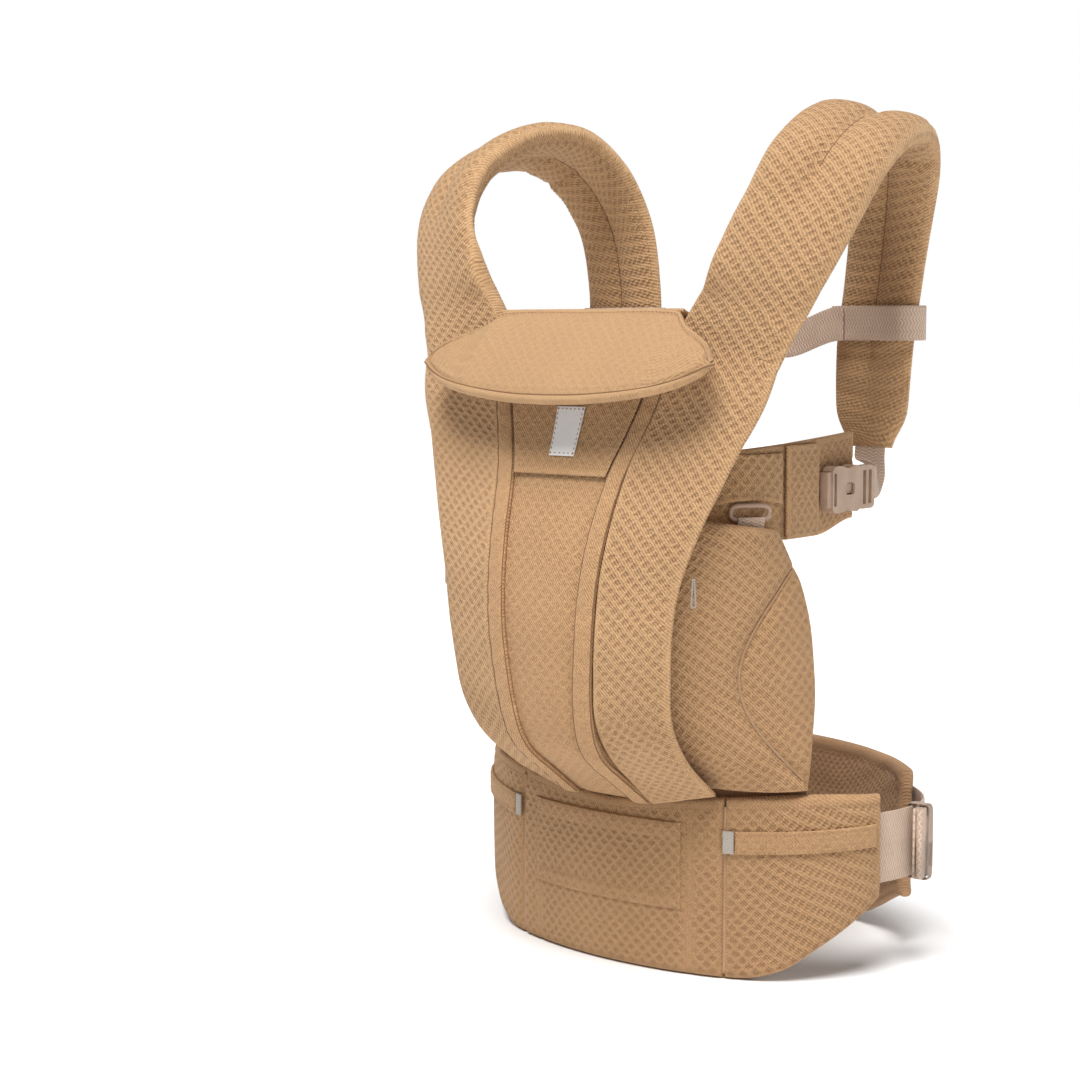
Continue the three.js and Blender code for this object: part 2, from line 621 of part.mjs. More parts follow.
// Small pull of the zip that runs behind the outer edge of each strap panel.
function addZipPulls() {
  for (const [word, side] of SIDES) {
    const shape = new THREE.Shape();
    shape.moveTo(-ZIP_PULL.top, 0);
    shape.lineTo(ZIP_PULL.top, 0);
    shape.lineTo(ZIP_PULL.foot, -ZIP_PULL.long);
    shape.lineTo(-ZIP_PULL.foot, -ZIP_PULL.long);
    const pull = new THREE.ExtrudeGeometry(shape, { depth: ZIP_PULL.thick, bevelEnabled: false });
    pull.rotateX(Math.PI / 2).rotateZ(radians(ZIP_PULL.turn * side));
    const edge = panelPoint(1, ZIP_PULL.z);
    pull.translate((edge.x + ZIP_PULL.out) * side, edge.y + ZIP_PULL.back, ZIP_PULL.z);
    piece(`zip_pull_${word}`, pull, 'elastic');
  }
}

// ---------------------------------------------------------------- the whole carrier

addWaistbelt();
addLumbarPad();
addWaistWebbing();
addPanel();
addHeadSupport();
addShoulderStraps();
addSeatWings();
addSideTabs();
addShoulderBuckles();
addStrapWebbing();
addChestStrap();
addWaistBuckle();
addZipPulls();

// The origin is the middle of the bounding box, on the floor.
const extent = new THREE.Box3().setFromObject(carrier, true);
const middle = extent.getCenter(vector(0, 0, 0));
carrier.position.set(-middle.x, -middle.y, -extent.min.z);

export default carrier;
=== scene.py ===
"""Soft structured baby carrier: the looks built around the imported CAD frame."""

import math

import bpy
import numpy as np
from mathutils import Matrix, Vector
from mathutils.kdtree import KDTree


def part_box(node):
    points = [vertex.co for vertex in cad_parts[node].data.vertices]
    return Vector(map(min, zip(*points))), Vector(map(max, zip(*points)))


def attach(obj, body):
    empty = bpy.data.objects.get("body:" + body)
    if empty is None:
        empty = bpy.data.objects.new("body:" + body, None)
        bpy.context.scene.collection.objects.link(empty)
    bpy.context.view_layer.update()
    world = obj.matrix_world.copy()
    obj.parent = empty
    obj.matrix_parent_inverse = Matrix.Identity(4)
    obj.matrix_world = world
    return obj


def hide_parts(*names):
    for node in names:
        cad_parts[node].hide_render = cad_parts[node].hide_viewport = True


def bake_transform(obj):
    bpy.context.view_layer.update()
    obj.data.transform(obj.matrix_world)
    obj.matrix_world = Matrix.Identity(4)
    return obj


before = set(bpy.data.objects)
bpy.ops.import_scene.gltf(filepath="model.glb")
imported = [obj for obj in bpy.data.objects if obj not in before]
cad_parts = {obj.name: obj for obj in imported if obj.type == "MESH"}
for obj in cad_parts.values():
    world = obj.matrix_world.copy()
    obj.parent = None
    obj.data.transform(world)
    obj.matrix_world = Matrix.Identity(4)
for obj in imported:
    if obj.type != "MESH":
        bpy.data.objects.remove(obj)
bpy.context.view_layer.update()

# ------------------------------------------------------------------ camera

CAMERA_PLACE = (0.9177, -1.2619, 0.4520)
CAMERA_TURN = (84.364, 0.0, 39.594)  # degrees about X, Y, Z
CAMERA_LENS = 70.93


def add_camera():
    data = bpy.data.cameras.new("camera")
    data.lens = CAMERA_LENS
    data.sensor_width = 36.0
    data.clip_end = 20.0
    camera = bpy.data.objects.new("camera", data)
    camera.location = CAMERA_PLACE
    camera.rotation_euler = [math.radians(a) for a in CAMERA_TURN]
    bpy.context.scene.collection.objects.link(camera)
    bpy.context.scene.camera = camera


add_camera()

# ------------------------------------------------------------------ driving dimensions, mm
# The same lines as the CAD part, before it is set on the floor and centred.

RING = {"half_width": 172.0, "half_depth": 108.0, "centre_y": 12.0}
BELT = {"thick": 13.0, "seam": 31.0, "tip": 78.0}
BELT_TOP = [(0, 117), (31, 125), (54, 129), (78, 127)]
FLOOR = -3.0
BELT_BOTTOM = [(0, -3), (34, -3), (46, 4), (57, 21), (68, 38), (78, 54)]
PANEL_FOOT, PANEL_HEAD = 126.0, 456.0
PANEL_HALF = [(120, 89), (150, 91), (190, 94), (240, 99), (271, 102), (307, 111),
              (344, 124), (376, 136), (400, 147), (420, 155), (456, 160)]
PANEL_SEAM = [(120, 38), (160, 37), (200, 40), (240, 44), (271, 46), (307, 49), (348, 55),
              (377, 64), (400, 71), (456, 79)]
PANEL_FRONT = [(120, -96), (142, -128), (164, -157), (190, -168), (236, -173), (271, -172),
               (307, -165), (344, -152), (376, -140), (414, -128), (456, -113)]
PANEL_SETBACK = [(120, 16), (142, 24), (164, 27), (190, 22), (236, 17), (271, 15), (307, 13),
                 (344, 8), (376, 5), (414, 3), (456, 0)]
STRAP_ON_PANEL = [125.5, 154, 184, 216, 250, 285, 320, 352, 384, 412, 436]
STRAP_PATH = [(129, -115, 462), (141, -112, 490), (155, -99, 526), (160, -72, 562),
              (156, -26, 586), (147, 20, 588), (136, 51, 567), (125, 68, 530),
              (118, 71, 484), (114, 67, 434), (113, 65, 364)]
STRAP_HALF = [37, 38.5, 39, 40, 40.5, 39, 36.5, 34, 33, 32.5, 28]
STRAP_YAW = [5, 15, 22, 24, 16, 8, 2, -3, -4, -4, 0]
STRAP_ROLL = [0, 2, 6, 10, 13, 13, 9, 3, 0, 0, 0]
STRAP_THICK = [16, 17, 18.5, 20, 20, 20, 20, 18, 14.4, 13.6, 10]
STRAP_PANEL_THICK = [4, 9, 12, 13, 13, 13, 13, 13, 13, 14, 15]
STRAP_PANEL_YAW = [15, 15, 15, 14, 13, 11, 8, 6, 4, 3, 2]
SUPPORT = {"hinge_y": -112.0, "hinge_z": 463.0, "tilt": 41.0, "forward": 7.5}
SUPPORT_REACH = 124.0
SUPPORT_UPPER = [(0, 0), (0.62, 0), (0.68, 7.5), (0.735, 13.5), (0.85, 20.5), (0.94, 28), (1, 39)]
SUPPORT_LOWER = [(0, 84), (0.26, 82.5), (0.58, 76), (0.8, 67), (0.92, 58), (0.98, 50), (1, 43)]
WING_REAR = [(132, 138, -54), (161, 138, -52), (197, 137, -48), (218, 137, -50),
             (252, 135, -54), (284, 131, -64), (315, 127, -82)]
TAB_PATH = [(97, -119), (114, -98), (122, -62), (121, -15), (119, 28)]
TAB_TOP = [(0, 367), (0.5, 372), (1, 377)]
TAB_LOW = {"front": 314.0, "rear": 306.0, "end": 315.0, "step": 0.43}
CHEST = {"z": 454.0, "y": 53.0, "sag": 13.0}
ROLL = {"at": 98.0, "offset": 12.0, "half_turn": 5.5, "half_thick": 4.2, "z": 88.0}
LUMBAR = {"end": 120.0, "top": 134.0, "end_top": 130.0, "end_bottom": 34.0}
NARROW, WIDE, WEB_THICK = 25.0, 50.0, 1.6
WAIST_BUCKLE_Z = 84.0
NECK_REACH = 81.0
HEM = 4.0  # width of the worn strip along a border

# The CAD part was moved on to the floor: its own boxes give that shift.
BELT_FACE_Y = RING["centre_y"] - RING["half_depth"] - BELT["thick"] / 2
belt_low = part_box("waistbelt_front")[0] * 1000
SHIFT = np.array([0.0, belt_low.y - BELT_FACE_Y, belt_low.z - FLOOR])
SIDES = (("right", 1), ("left", -1))

# ------------------------------------------------------------------ small mathematics


def through(pairs):
    """Smooth curve through (position, value) pairs, as in the CAD part."""
    xs, ys = (np.array(c, float) for c in zip(*pairs))
    slope = np.empty_like(ys)
    slope[1:-1] = (ys[2:] - ys[:-2]) / (xs[2:] - xs[:-2])
    slope[0] = (ys[1] - ys[0]) / (xs[1] - xs[0])
    slope[-1] = (ys[-1] - ys[-2]) / (xs[-1] - xs[-2])

    def value(x):
        x = np.asarray(x, float)
        i = np.clip(np.searchsorted(xs, x, "left") - 1, 0, len(xs) - 2)
        step = xs[i + 1] - xs[i]
        t = np.clip((x - xs[i]) / step, 0, 1)
        ease = t * t * (3 - 2 * t)
        leave = t * (1 - t) ** 2 * step * slope[i]
        arrive = t * t * (t - 1) * step * slope[i + 1]
        return ys[i] * (1 - ease) + ys[i + 1] * ease + leave + arrive

    return value


def evenly(values):
    return through([(i / (len(values) - 1), v) for i, v in enumerate(values)])


def mix(a, b, t):
    return a + (b - a) * t


def smooth(a, b, x):
    t = np.clip((np.asarray(x, float) - a) / (b - a), 0, 1)
    return t * t * (3 - 2 * t)


def fade(a, b, x):
    """1 up to a, falling smoothly to 0 at b."""
    return 1 - smooth(a, b, x)


def bell(x, centre, width):
    return np.exp(-(((x - centre) / width) ** 2))


def arch(share):
    """0 at both ends of a share and 1 in its middle."""
    return np.sin(math.pi * np.clip(share, 0, 1))


def straight(first, last, count=60):
    return np.linspace(first, last, count)


def stack(x, y, z):
    x, y, z = np.broadcast_arrays(x, y, z)
    return np.stack([x, y, z], -1).astype(float)


def unit(v):
    return v / np.maximum(np.linalg.norm(v, axis=-1, keepdims=True), 1e-9)


def ripple(a, b, seed, octaves=3):
    """Smooth repeatable wander of about -1 to 1 over two coordinates."""
    rng = np.random.default_rng(seed)
    total = 0.0
    for k in range(octaves):
        for _ in range(3):
            turn, phase = rng.uniform(0, 2 * math.pi, 2)
            total = total + np.sin((a * math.cos(turn) + b * math.sin(turn)) * 1.7**k + phase) / 1.6**k
    return total / 5.0


panel_half, panel_seam = through(PANEL_HALF), through(PANEL_SEAM)
panel_front, panel_setback = through(PANEL_FRONT), through(PANEL_SETBACK)
belt_top, belt_curve = through(BELT_TOP), through(BELT_BOTTOM)
support_upper, support_lower = through(SUPPORT_UPPER), through(SUPPORT_LOWER)
wing_rear_x, wing_rear_y = (through([(row[0], row[k]) for row in WING_REAR]) for k in (1, 2))
tab_x, tab_y, tab_top = evenly([x for x, _ in TAB_PATH]), evenly([y for _, y in TAB_PATH]), through(TAB_TOP)


def belt_bottom(degrees):
    return np.maximum(belt_curve(degrees), FLOOR)


def ring_point(degrees, offset, z):
    turn = np.radians(degrees)
    x = (RING["half_width"] + offset) * np.sin(turn)
    return stack(x, RING["centre_y"] - (RING["half_depth"] + offset) * np.cos(turn), z)


def panel_skin(share, z):
    y = panel_front(z) + panel_setback(z) * np.abs(share) ** 2.2
    return stack(panel_half(z) * share, y, z)


def panel_point(share, z, offset=0.0):
    along_x = panel_skin(share + 0.01, z) - panel_skin(share - 0.01, z)
    along_z = panel_skin(share, z + 1) - panel_skin(share, z - 1)
    return panel_skin(share, z) + unit(np.cross(along_x, along_z)) * np.asarray(offset)[..., None]


# ------------------------------------------------------------------ mesh makers


def spaced(length, step, edge):
    """Shares of a length, close together near both ends."""
    near = [0, 0.08 * edge, 0.25 * edge, 0.55 * edge, edge]
    middle = np.linspace(edge, length - edge, max(2, int((length - 2 * edge) / step) + 1))
    return np.concatenate([near[:-1], middle, [length - e for e in near[-2::-1]]]) / length


def mesh_object(name, points, faces, material, uvs=None, marks=()):
    """A mesh from points in mm of the CAD part's lines, with cloth UVs in mm and marks on the points."""
    mesh = bpy.data.meshes.new(name)
    mesh.from_pydata(((points + SHIFT) / 1000).tolist(), [], faces)
    mesh.polygons.foreach_set("use_smooth", [True] * len(mesh.polygons))
    if uvs is not None:
        layer = mesh.uv_layers.new(name="cloth")
        corner = np.empty(len(mesh.loops), np.int32)
        mesh.loops.foreach_get("vertex_index", corner)
        layer.data.foreach_set("uv", np.asarray(uvs, np.float32)[corner].ravel())
    for key, values in marks:
        attribute = mesh.attributes.new(key, "FLOAT", "POINT")
        attribute.data.foreach_set("value", np.asarray(values, np.float32))
    mesh.update()
    mesh.materials.append(material)
    obj = bpy.data.objects.new(name, mesh)
    bpy.context.scene.collection.objects.link(obj)
    return obj


def grid_faces(index):
    """Four-cornered faces between the rows and columns of a grid of point numbers."""
    corners = [index[:-1, :-1], index[:-1, 1:], index[1:, 1:], index[1:, :-1]]
    return np.stack(corners, -1).reshape(-1, 4)


def swept(name, sections, uvs, material, side=1, closed=False):
    """A mesh through a row of cross-sections, capped at both ends or closed into a loop."""
    index = np.arange(sections.shape[0] * sections.shape[1]).reshape(sections.shape[:2])
    rings = np.hstack([index, index[:, :1]])
    faces = grid_faces(np.vstack([rings, rings[:1]]) if closed else rings).tolist()
    if not closed:
        faces += [index[0, ::-1].tolist(), index[-1].tolist()]
    if side < 0:
        faces = [f[::-1] for f in faces]
    return mesh_object(name, sections.reshape(-1, 3) * [side, 1, 1], faces, material, uvs.reshape(-1, 2))


def normal_of(surface, u, v, step=1e-3):
    along_u = surface(u + step, v) - surface(u - step, v)
    along_v = surface(u, v + step) - surface(u, v - step)
    return unit(np.cross(along_u, along_v))


def place(obj, slot, *nodes, body="carrier"):
    """Rides a piece on its body, in place of CAD nodes; slot is not used."""
    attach(obj, body)
    if nodes:
        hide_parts(*nodes)
    return obj


class Spots:
    """Points of a surface: their shares u and v, and distances in mm.

    s runs along u and t along v, rear and top are what is left of them, ends is the distance to
    the nearer end of u, and edge the distance to the nearest border.
    """

    def __init__(self, surface, u, v):
        self.u, self.v, self.mid = u, v, surface(u, v)
        run = np.linalg.norm(np.diff(self.mid, axis=1), axis=-1)
        rise = np.linalg.norm(np.diff(self.mid, axis=0), axis=-1)
        self.s = np.concatenate([np.zeros((len(u), 1)), np.cumsum(run, 1)], 1)
        self.t = np.concatenate([np.zeros((1, u.shape[1])), np.cumsum(rise, 0)], 0)
        self.wide = self.s[:, -1:]
        self.rear, self.top = self.wide - self.s, self.t[-1:] - self.t
        self.ends = np.minimum(self.s, self.rear)
        self.edge = np.minimum(self.ends, np.minimum(self.t, self.top))

    def wander(self, wide, tall, seed):
        """Soft unevenness of about -1 to 1, with swells of that width and height."""
        return ripple(self.s / wide, self.t / tall, seed)

    def value(self, height):
        return height(self) if callable(height) else np.full(self.u.shape, float(height))


class Quilt:
    """A closed padded sheet about a middle surface, with a front and a back height in mm.

    A height is a number or a function of Spots. flat is where the knit's hollows are pressed
    flat, 0 to 1. grip is how much tighter the border at u = 0 turns, along v.
    """

    def __init__(self, name, surface, front, back, span, step, material, flat=0, side=1, rim=0.9,
                 round_edge=5.0, grip=None, turned=False):
        self.surface, self.side = surface, side
        self.us, self.vs = (spaced(length, step, round_edge) for length in span)
        p = self.spots = Spots(surface, *np.meshgrid(self.us, self.vs))
        edge = p.edge
        if grip:
            edge = np.where(p.s <= p.wide / 2, np.minimum(edge * grip(p.v), round_edge), edge)
        swell = np.sqrt(1 - (1 - np.clip(edge / round_edge, 0, 1)) ** 2)
        self.heights = [rim + (p.value(height) - rim) * swell for height in (front, back)]
        self.out = normal_of(surface, p.u, p.v)
        skins = [p.mid + self.out * way * height[..., None] for way, height in zip((1, -1), self.heights)]
        cloth = np.stack([p.s - p.wide / 2, p.t], -1)
        if turned:
            cloth = cloth[..., ::-1]
        marks = {"flat": np.clip(p.value(flat), 0, 1), "hem": fade(0, HEM, p.edge)}
        points = np.concatenate(skins).reshape(-1, 3) * [side, 1, 1]
        uvs = np.concatenate([cloth, cloth]).reshape(-1, 2)
        marks = [(key, np.tile(values.ravel(), 2)) for key, values in marks.items()]
        self.obj = mesh_object(name, points, self.faces(), material, uvs, marks)

    def faces(self):
        count = self.spots.u.size
        index = np.arange(count).reshape(self.spots.u.shape)
        skin = grid_faces(index)
        rim = np.concatenate([index[0, :], index[1:, -1], index[-1, -2::-1], index[-2:0:-1, 0]])
        after = np.roll(rim, -1)
        walls = np.stack([rim, rim + count, after + count, after], -1)
        faces = np.concatenate([skin, skin[:, [0, 3, 2, 1]] + count, walls])
        return faces[:, ::self.side].tolist()

    def settle(self, cap, hold):
        """Lets the cloth of this piece settle, held where hold says, and keeps the seams on it."""
        held = np.clip(hold(self.spots), 0, 1)
        push = settle(self.obj, cap, np.tile(held.ravel(), 2)) * [self.side, 1, 1]
        rise = np.sum(push.reshape(2, *held.shape, 3) * self.out, -1)
        self.heights = [self.heights[0] + rise[0], self.heights[1] - rise[1]]

    def height(self, u, v, back):
        """Height of the front or back face between the points of its grid."""
        values = self.heights[int(back)]
        i = np.clip(np.searchsorted(self.us, u) - 1, 0, len(self.us) - 2)
        j = np.clip(np.searchsorted(self.vs, v) - 1, 0, len(self.vs) - 2)
        p = np.clip((u - self.us[i]) / (self.us[i + 1] - self.us[i]), 0, 1)
        q = np.clip((v - self.vs[j]) / (self.vs[j + 1] - self.vs[j]), 0, 1)
        return mix(mix(values[j, i], values[j, i + 1], p), mix(values[j + 1, i], values[j + 1, i + 1], p), q)

    def line(self, u, v, back=False):
        """Points and outward directions on the front or back face. A span is (first, last, count)."""
        u, v = np.broadcast_arrays(*(straight(*w) if isinstance(w, tuple) else w for w in (u, v)))
        out = normal_of(self.surface, u, v) * (-1 if back else 1)
        points = self.surface(u, v) + out * self.height(u, v, back)[..., None]
        return points * [self.side, 1, 1], out * [self.side, 1, 1]

    def stitch(self, u, v, back=False, body="carrier"):
        sew(body, *self.line(u, v, back))

    def piping(self, name, u, v, radius, material, lift, back=False, body="carrier"):
        seam(name, *self.line(u, v, back), radius, material, lift, body)


# ------------------------------------------------------------------ settling of filled pieces

SETTLE_FRAMES, SETTLE_PRESSURE, SETTLE_VOXEL = 20, 4.0, 0.0045
HOLD_LEVELS = 10
SHARED_POINTS = 4  # points of the settled copy that move each point of the piece


def points_of(mesh):
    flat = np.empty(len(mesh.vertices) * 3, np.float32)
    mesh.vertices.foreach_get("co", flat)
    return flat.reshape(-1, 3)


def shaped(obj):
    return obj.evaluated_get(bpy.context.evaluated_depsgraph_get())


def tree_of(points):
    tree = KDTree(len(points))
    for i, point in enumerate(points):
        tree.insert(point, i)
    tree.balance()
    return tree


def simple_copy(obj):
    """An evenly remeshed copy of a piece, for the cloth solver."""
    copy = bpy.data.objects.new(obj.name + "_settling", obj.data.copy())
    bpy.context.scene.collection.objects.link(copy)
    even = copy.modifiers.new("even", "REMESH")
    even.mode = "VOXEL"
    even.voxel_size = SETTLE_VOXEL
    mesh = bpy.data.meshes.new_from_object(shaped(copy))
    old = copy.data
    copy.modifiers.clear()
    copy.data = mesh
    bpy.data.meshes.remove(old)
    return copy


def add_cloth(copy, held):
    group = copy.vertex_groups.new(name="held")
    levels = np.round(held * HOLD_LEVELS).astype(int)
    for level in range(1, HOLD_LEVELS + 1):
        group.add(np.flatnonzero(levels == level).tolist(), level / HOLD_LEVELS, "REPLACE")
    cloth = copy.modifiers.new("cloth", "CLOTH")
    settings = {"vertex_group_mass": group.name, "quality": 5, "mass": 0.12, "tension_stiffness": 3,
                "compression_stiffness": 3, "bending_stiffness": 0.1, "use_pressure": True,
                "uniform_pressure_force": SETTLE_PRESSURE}
    for key, value in settings.items():
        setattr(cloth.settings, key, value)
    cloth.settings.effector_weights.gravity = 0
    cloth.point_cache.frame_start, cloth.point_cache.frame_end = 1, SETTLE_FRAMES


def settle(obj, cap, held):
    """Lets the cloth of a filled piece swell between its held seams, then keeps that shape.

    cap is the furthest a point may move, in mm, and held the share, 0 to 1, that each point is held.
    Gives back how far each point moved, in mm.
    """
    detail = points_of(obj.data)
    copy = simple_copy(obj)
    rest = points_of(copy.data)
    tree = tree_of(detail)
    add_cloth(copy, np.array([held[tree.find(point)[1]] for point in rest]))
    for step in range(1, SETTLE_FRAMES + 1):
        bpy.context.scene.frame_set(step)
    push = points_of(shaped(copy).data) - rest
    length = np.maximum(np.linalg.norm(push, axis=1, keepdims=True), 1e-9)
    limit = cap / 1000
    push = push / length * limit * np.tanh(length / limit)
    bpy.context.scene.frame_set(1)
    bpy.data.objects.remove(copy)
    tree = tree_of(rest)
    moved = np.zeros_like(detail)
    for i, point in enumerate(detail):
        near = tree.find_n(point, SHARED_POINTS)
        weights = np.array([1 / (found[2] + 1e-4) for found in near])
        moved[i] = weights @ push[[found[1] for found in near]] / weights.sum()
    moved *= (1 - held)[:, None]
    obj.data.vertices.foreach_set("co", (detail + moved).ravel())
    obj.data.update()
    return moved * 1000


# ------------------------------------------------------------------ stitches, seams and cords

THREADS = {}  # body name -> points of the stitches that ride on it
STITCH_LONG, STITCH_PITCH, STITCH_RADIUS, STITCH_SINK = 2.3, 3.3, 0.34, 0.05
STITCH_SIDES = 5
# Along the stitch: shift, size and rise of each section.
STITCH_SECTIONS = ((-0.5, 0.35, -0.9), (-0.3, 1.0, 0.1), (0.3, 1.0, 0.1), (0.5, 0.35, -0.9))


def frames_along(path, ups, pitch):
    """Points at an even pitch along a path, with the directions out of it, along it and across."""
    path, ups = np.asarray(path), np.asarray(ups)
    run = np.concatenate([[0], np.cumsum(np.linalg.norm(np.diff(path, axis=0), axis=1))])
    at = np.linspace(0, run[-1], max(2, int(run[-1] / pitch) + 1))
    points, out = (np.stack([np.interp(at, run, c[:, k]) for k in range(3)], -1) for c in (path, ups))
    out, along = unit(out), unit(np.gradient(points, axis=0))
    return points, out, along, unit(np.cross(along, out))


def sew(body, path, ups):
    """A row of raised stitches along a path, added to that body's thread mesh."""
    points, out, along, across = frames_along(path, ups, STITCH_PITCH)
    corners = []
    for shift, size, rise in STITCH_SECTIONS:
        for angle in np.arange(STITCH_SIDES) * 2 * math.pi / STITCH_SIDES:
            lift = (math.sin(angle) * size + rise) * STITCH_RADIUS - STITCH_SINK
            spread = math.cos(angle) * size * STITCH_RADIUS
            corners.append(points + along * shift * STITCH_LONG + across * spread + out * lift)
    THREADS.setdefault(body, []).append(np.stack(corners, 1))


def finish_threads():
    index = np.arange(len(STITCH_SECTIONS) * STITCH_SIDES).reshape(-1, STITCH_SIDES)
    walls, caps = grid_faces(np.hstack([index, index[:, :1]])), np.stack([index[0, ::-1], index[-1]])
    for body, blocks in THREADS.items():
        points = np.concatenate(blocks)
        starts = np.arange(len(points))[:, None, None] * index.size
        faces = (starts + walls).reshape(-1, 4).tolist() + (starts + caps).reshape(-1, STITCH_SIDES).tolist()
        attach(mesh_object("stitching_" + body, points.reshape(-1, 3), faces, thread), body)


def tube(name, path, ups, radius, material, sides=8):
    """A closed round cord along a path."""
    points, out, along, across = frames_along(path, ups, max(1.5, radius * 1.5))
    out = unit(np.cross(across, along))
    turns = np.arange(sides) * 2 * math.pi / sides
    ring = [(across * math.cos(a) + out * math.sin(a)) * radius for a in turns]
    sections = points[:, None] + np.stack(ring, 1)
    run, around = np.meshgrid(np.arange(len(points)) * 1.5, np.arange(sides), indexing="ij")
    return swept(name, sections, np.stack([around, run], -1), material)


def seam(name, path, ups, radius, material, lift=0.0, body="carrier"):
    """A thin tube riding on a body: in the dark seam-shadow cloth it is painted shadow along a seam or
    crease, otherwise a piping.
    """
    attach(tube(name, path + unit(ups) * lift, ups, radius, material, 6), body)


# ------------------------------------------------------------------ materials


class Nodes:
    """A new material, or a given tree, with short calls for its nodes."""

    def __init__(self, name=None, tree=None):
        self.tree = tree
        if name:
            self.material = bpy.data.materials.new(name)
            self.material.use_nodes = True
            self.tree = self.material.node_tree
            self.shader = self.tree.nodes["Principled BSDF"]

    def put(self, kind, inputs=(), **settings):
        node = self.tree.nodes.new(kind)
        for key, value in settings.items():
            setattr(node, key, value)
        self.fill(node, inputs)
        return node

    def fill(self, node, inputs):
        """Links the sockets and sets the plain values of a node."""
        for key, value in dict(inputs).items():
            if isinstance(value, bpy.types.NodeSocket):
                self.tree.links.new(value, node.inputs[key])
            else:
                node.inputs[key].default_value = value

    def maths(self, operation, a, b=0.0, clamp=False):
        return self.put("ShaderNodeMath", {0: a, 1: b}, operation=operation, use_clamp=clamp).outputs[0]

    def add(self, a, b, clamp=False):
        return self.maths("ADD", a, b, clamp)

    def take(self, a, b):
        return self.maths("SUBTRACT", a, b)

    def times(self, a, b):
        return self.maths("MULTIPLY", a, b)

    def sine(self, a):
        return self.maths("SINE", a)

    def vector(self, operation, a, b=(0, 0, 0)):
        node = self.put("ShaderNodeVectorMath", {0: a, 1: b}, operation=operation)
        return node.outputs["Value" if operation in ("DOT_PRODUCT", "LENGTH") else "Vector"]

    def parts(self, vector):
        return self.put("ShaderNodeSeparateXYZ", {0: vector}).outputs[:2]

    def ramp(self, value, low, high, out_low=0.0, out_high=1.0):
        inputs = {"Value": value, "From Min": low, "From Max": high, "To Min": out_low, "To Max": out_high}
        return self.put("ShaderNodeMapRange", inputs, interpolation_type="SMOOTHSTEP").outputs[0]

    def tones(self, share, a, b):
        """Between two colours, each a socket or its red, green and blue."""
        a, b = (c if isinstance(c, bpy.types.NodeSocket) else (*c, 1) for c in (a, b))
        return self.put("ShaderNodeMix", {0: share, 6: a, 7: b}, data_type="RGBA").outputs[2]

    def noise(self, vector, scale, detail=2.0, output="Fac"):
        inputs = {"Vector": vector, "Scale": scale, "Detail": detail}
        return self.put("ShaderNodeTexNoise", inputs).outputs[output]

    def cloth(self):
        return self.put("ShaderNodeUVMap", uv_map="cloth").outputs[0]

    def place(self):
        return self.put("ShaderNodeTexCoord").outputs["Object"]

    def mark(self, name):
        return self.put("ShaderNodeAttribute", attribute_name=name).outputs["Fac"]

    def finish(self, colour, roughness, relief, strength, distance, sheen=0.0, specular=0.5, **others):
        """Links colour, roughness and relief (depth in metres) to the shader."""
        bump = self.put("ShaderNodeBump", {"Height": relief, "Strength": strength, "Distance": distance})
        self.fill(self.shader, {"Base Color": colour, "Roughness": roughness, "Normal": bump.outputs[0]})
        self.shader.inputs["Sheen Weight"].default_value = sheen
        self.shader.inputs["Specular IOR Level"].default_value = specular
        for key, value in others.items():
            self.shader.inputs[key.replace("_", " ").title()].default_value = value
        return self.material


LOOP_TURN = (2 * math.pi / 2.5, 2 * math.pi / 2.1, 0)  # one knitted loop is 2.5 by 2.1 mm
RIB_TURN = (2 * math.pi / 1.55 * 0.80, 2 * math.pi / 1.55 * 0.60, 0)  # slanting ribs 1.55 mm apart


def chevron(n, cell, pitch):
    """Distance from the middle of a V-shaped hollow inside one cell of the knit."""
    _, along = n.parts(cell)
    side, _ = n.parts(n.vector("ABSOLUTE", cell))
    tall = n.add(n.times(along, pitch[1] / pitch[0] * 1.25), n.times(side, 0.5))
    return n.vector("LENGTH", n.put("ShaderNodeCombineXYZ", {0: side, 1: tall}).outputs[0])


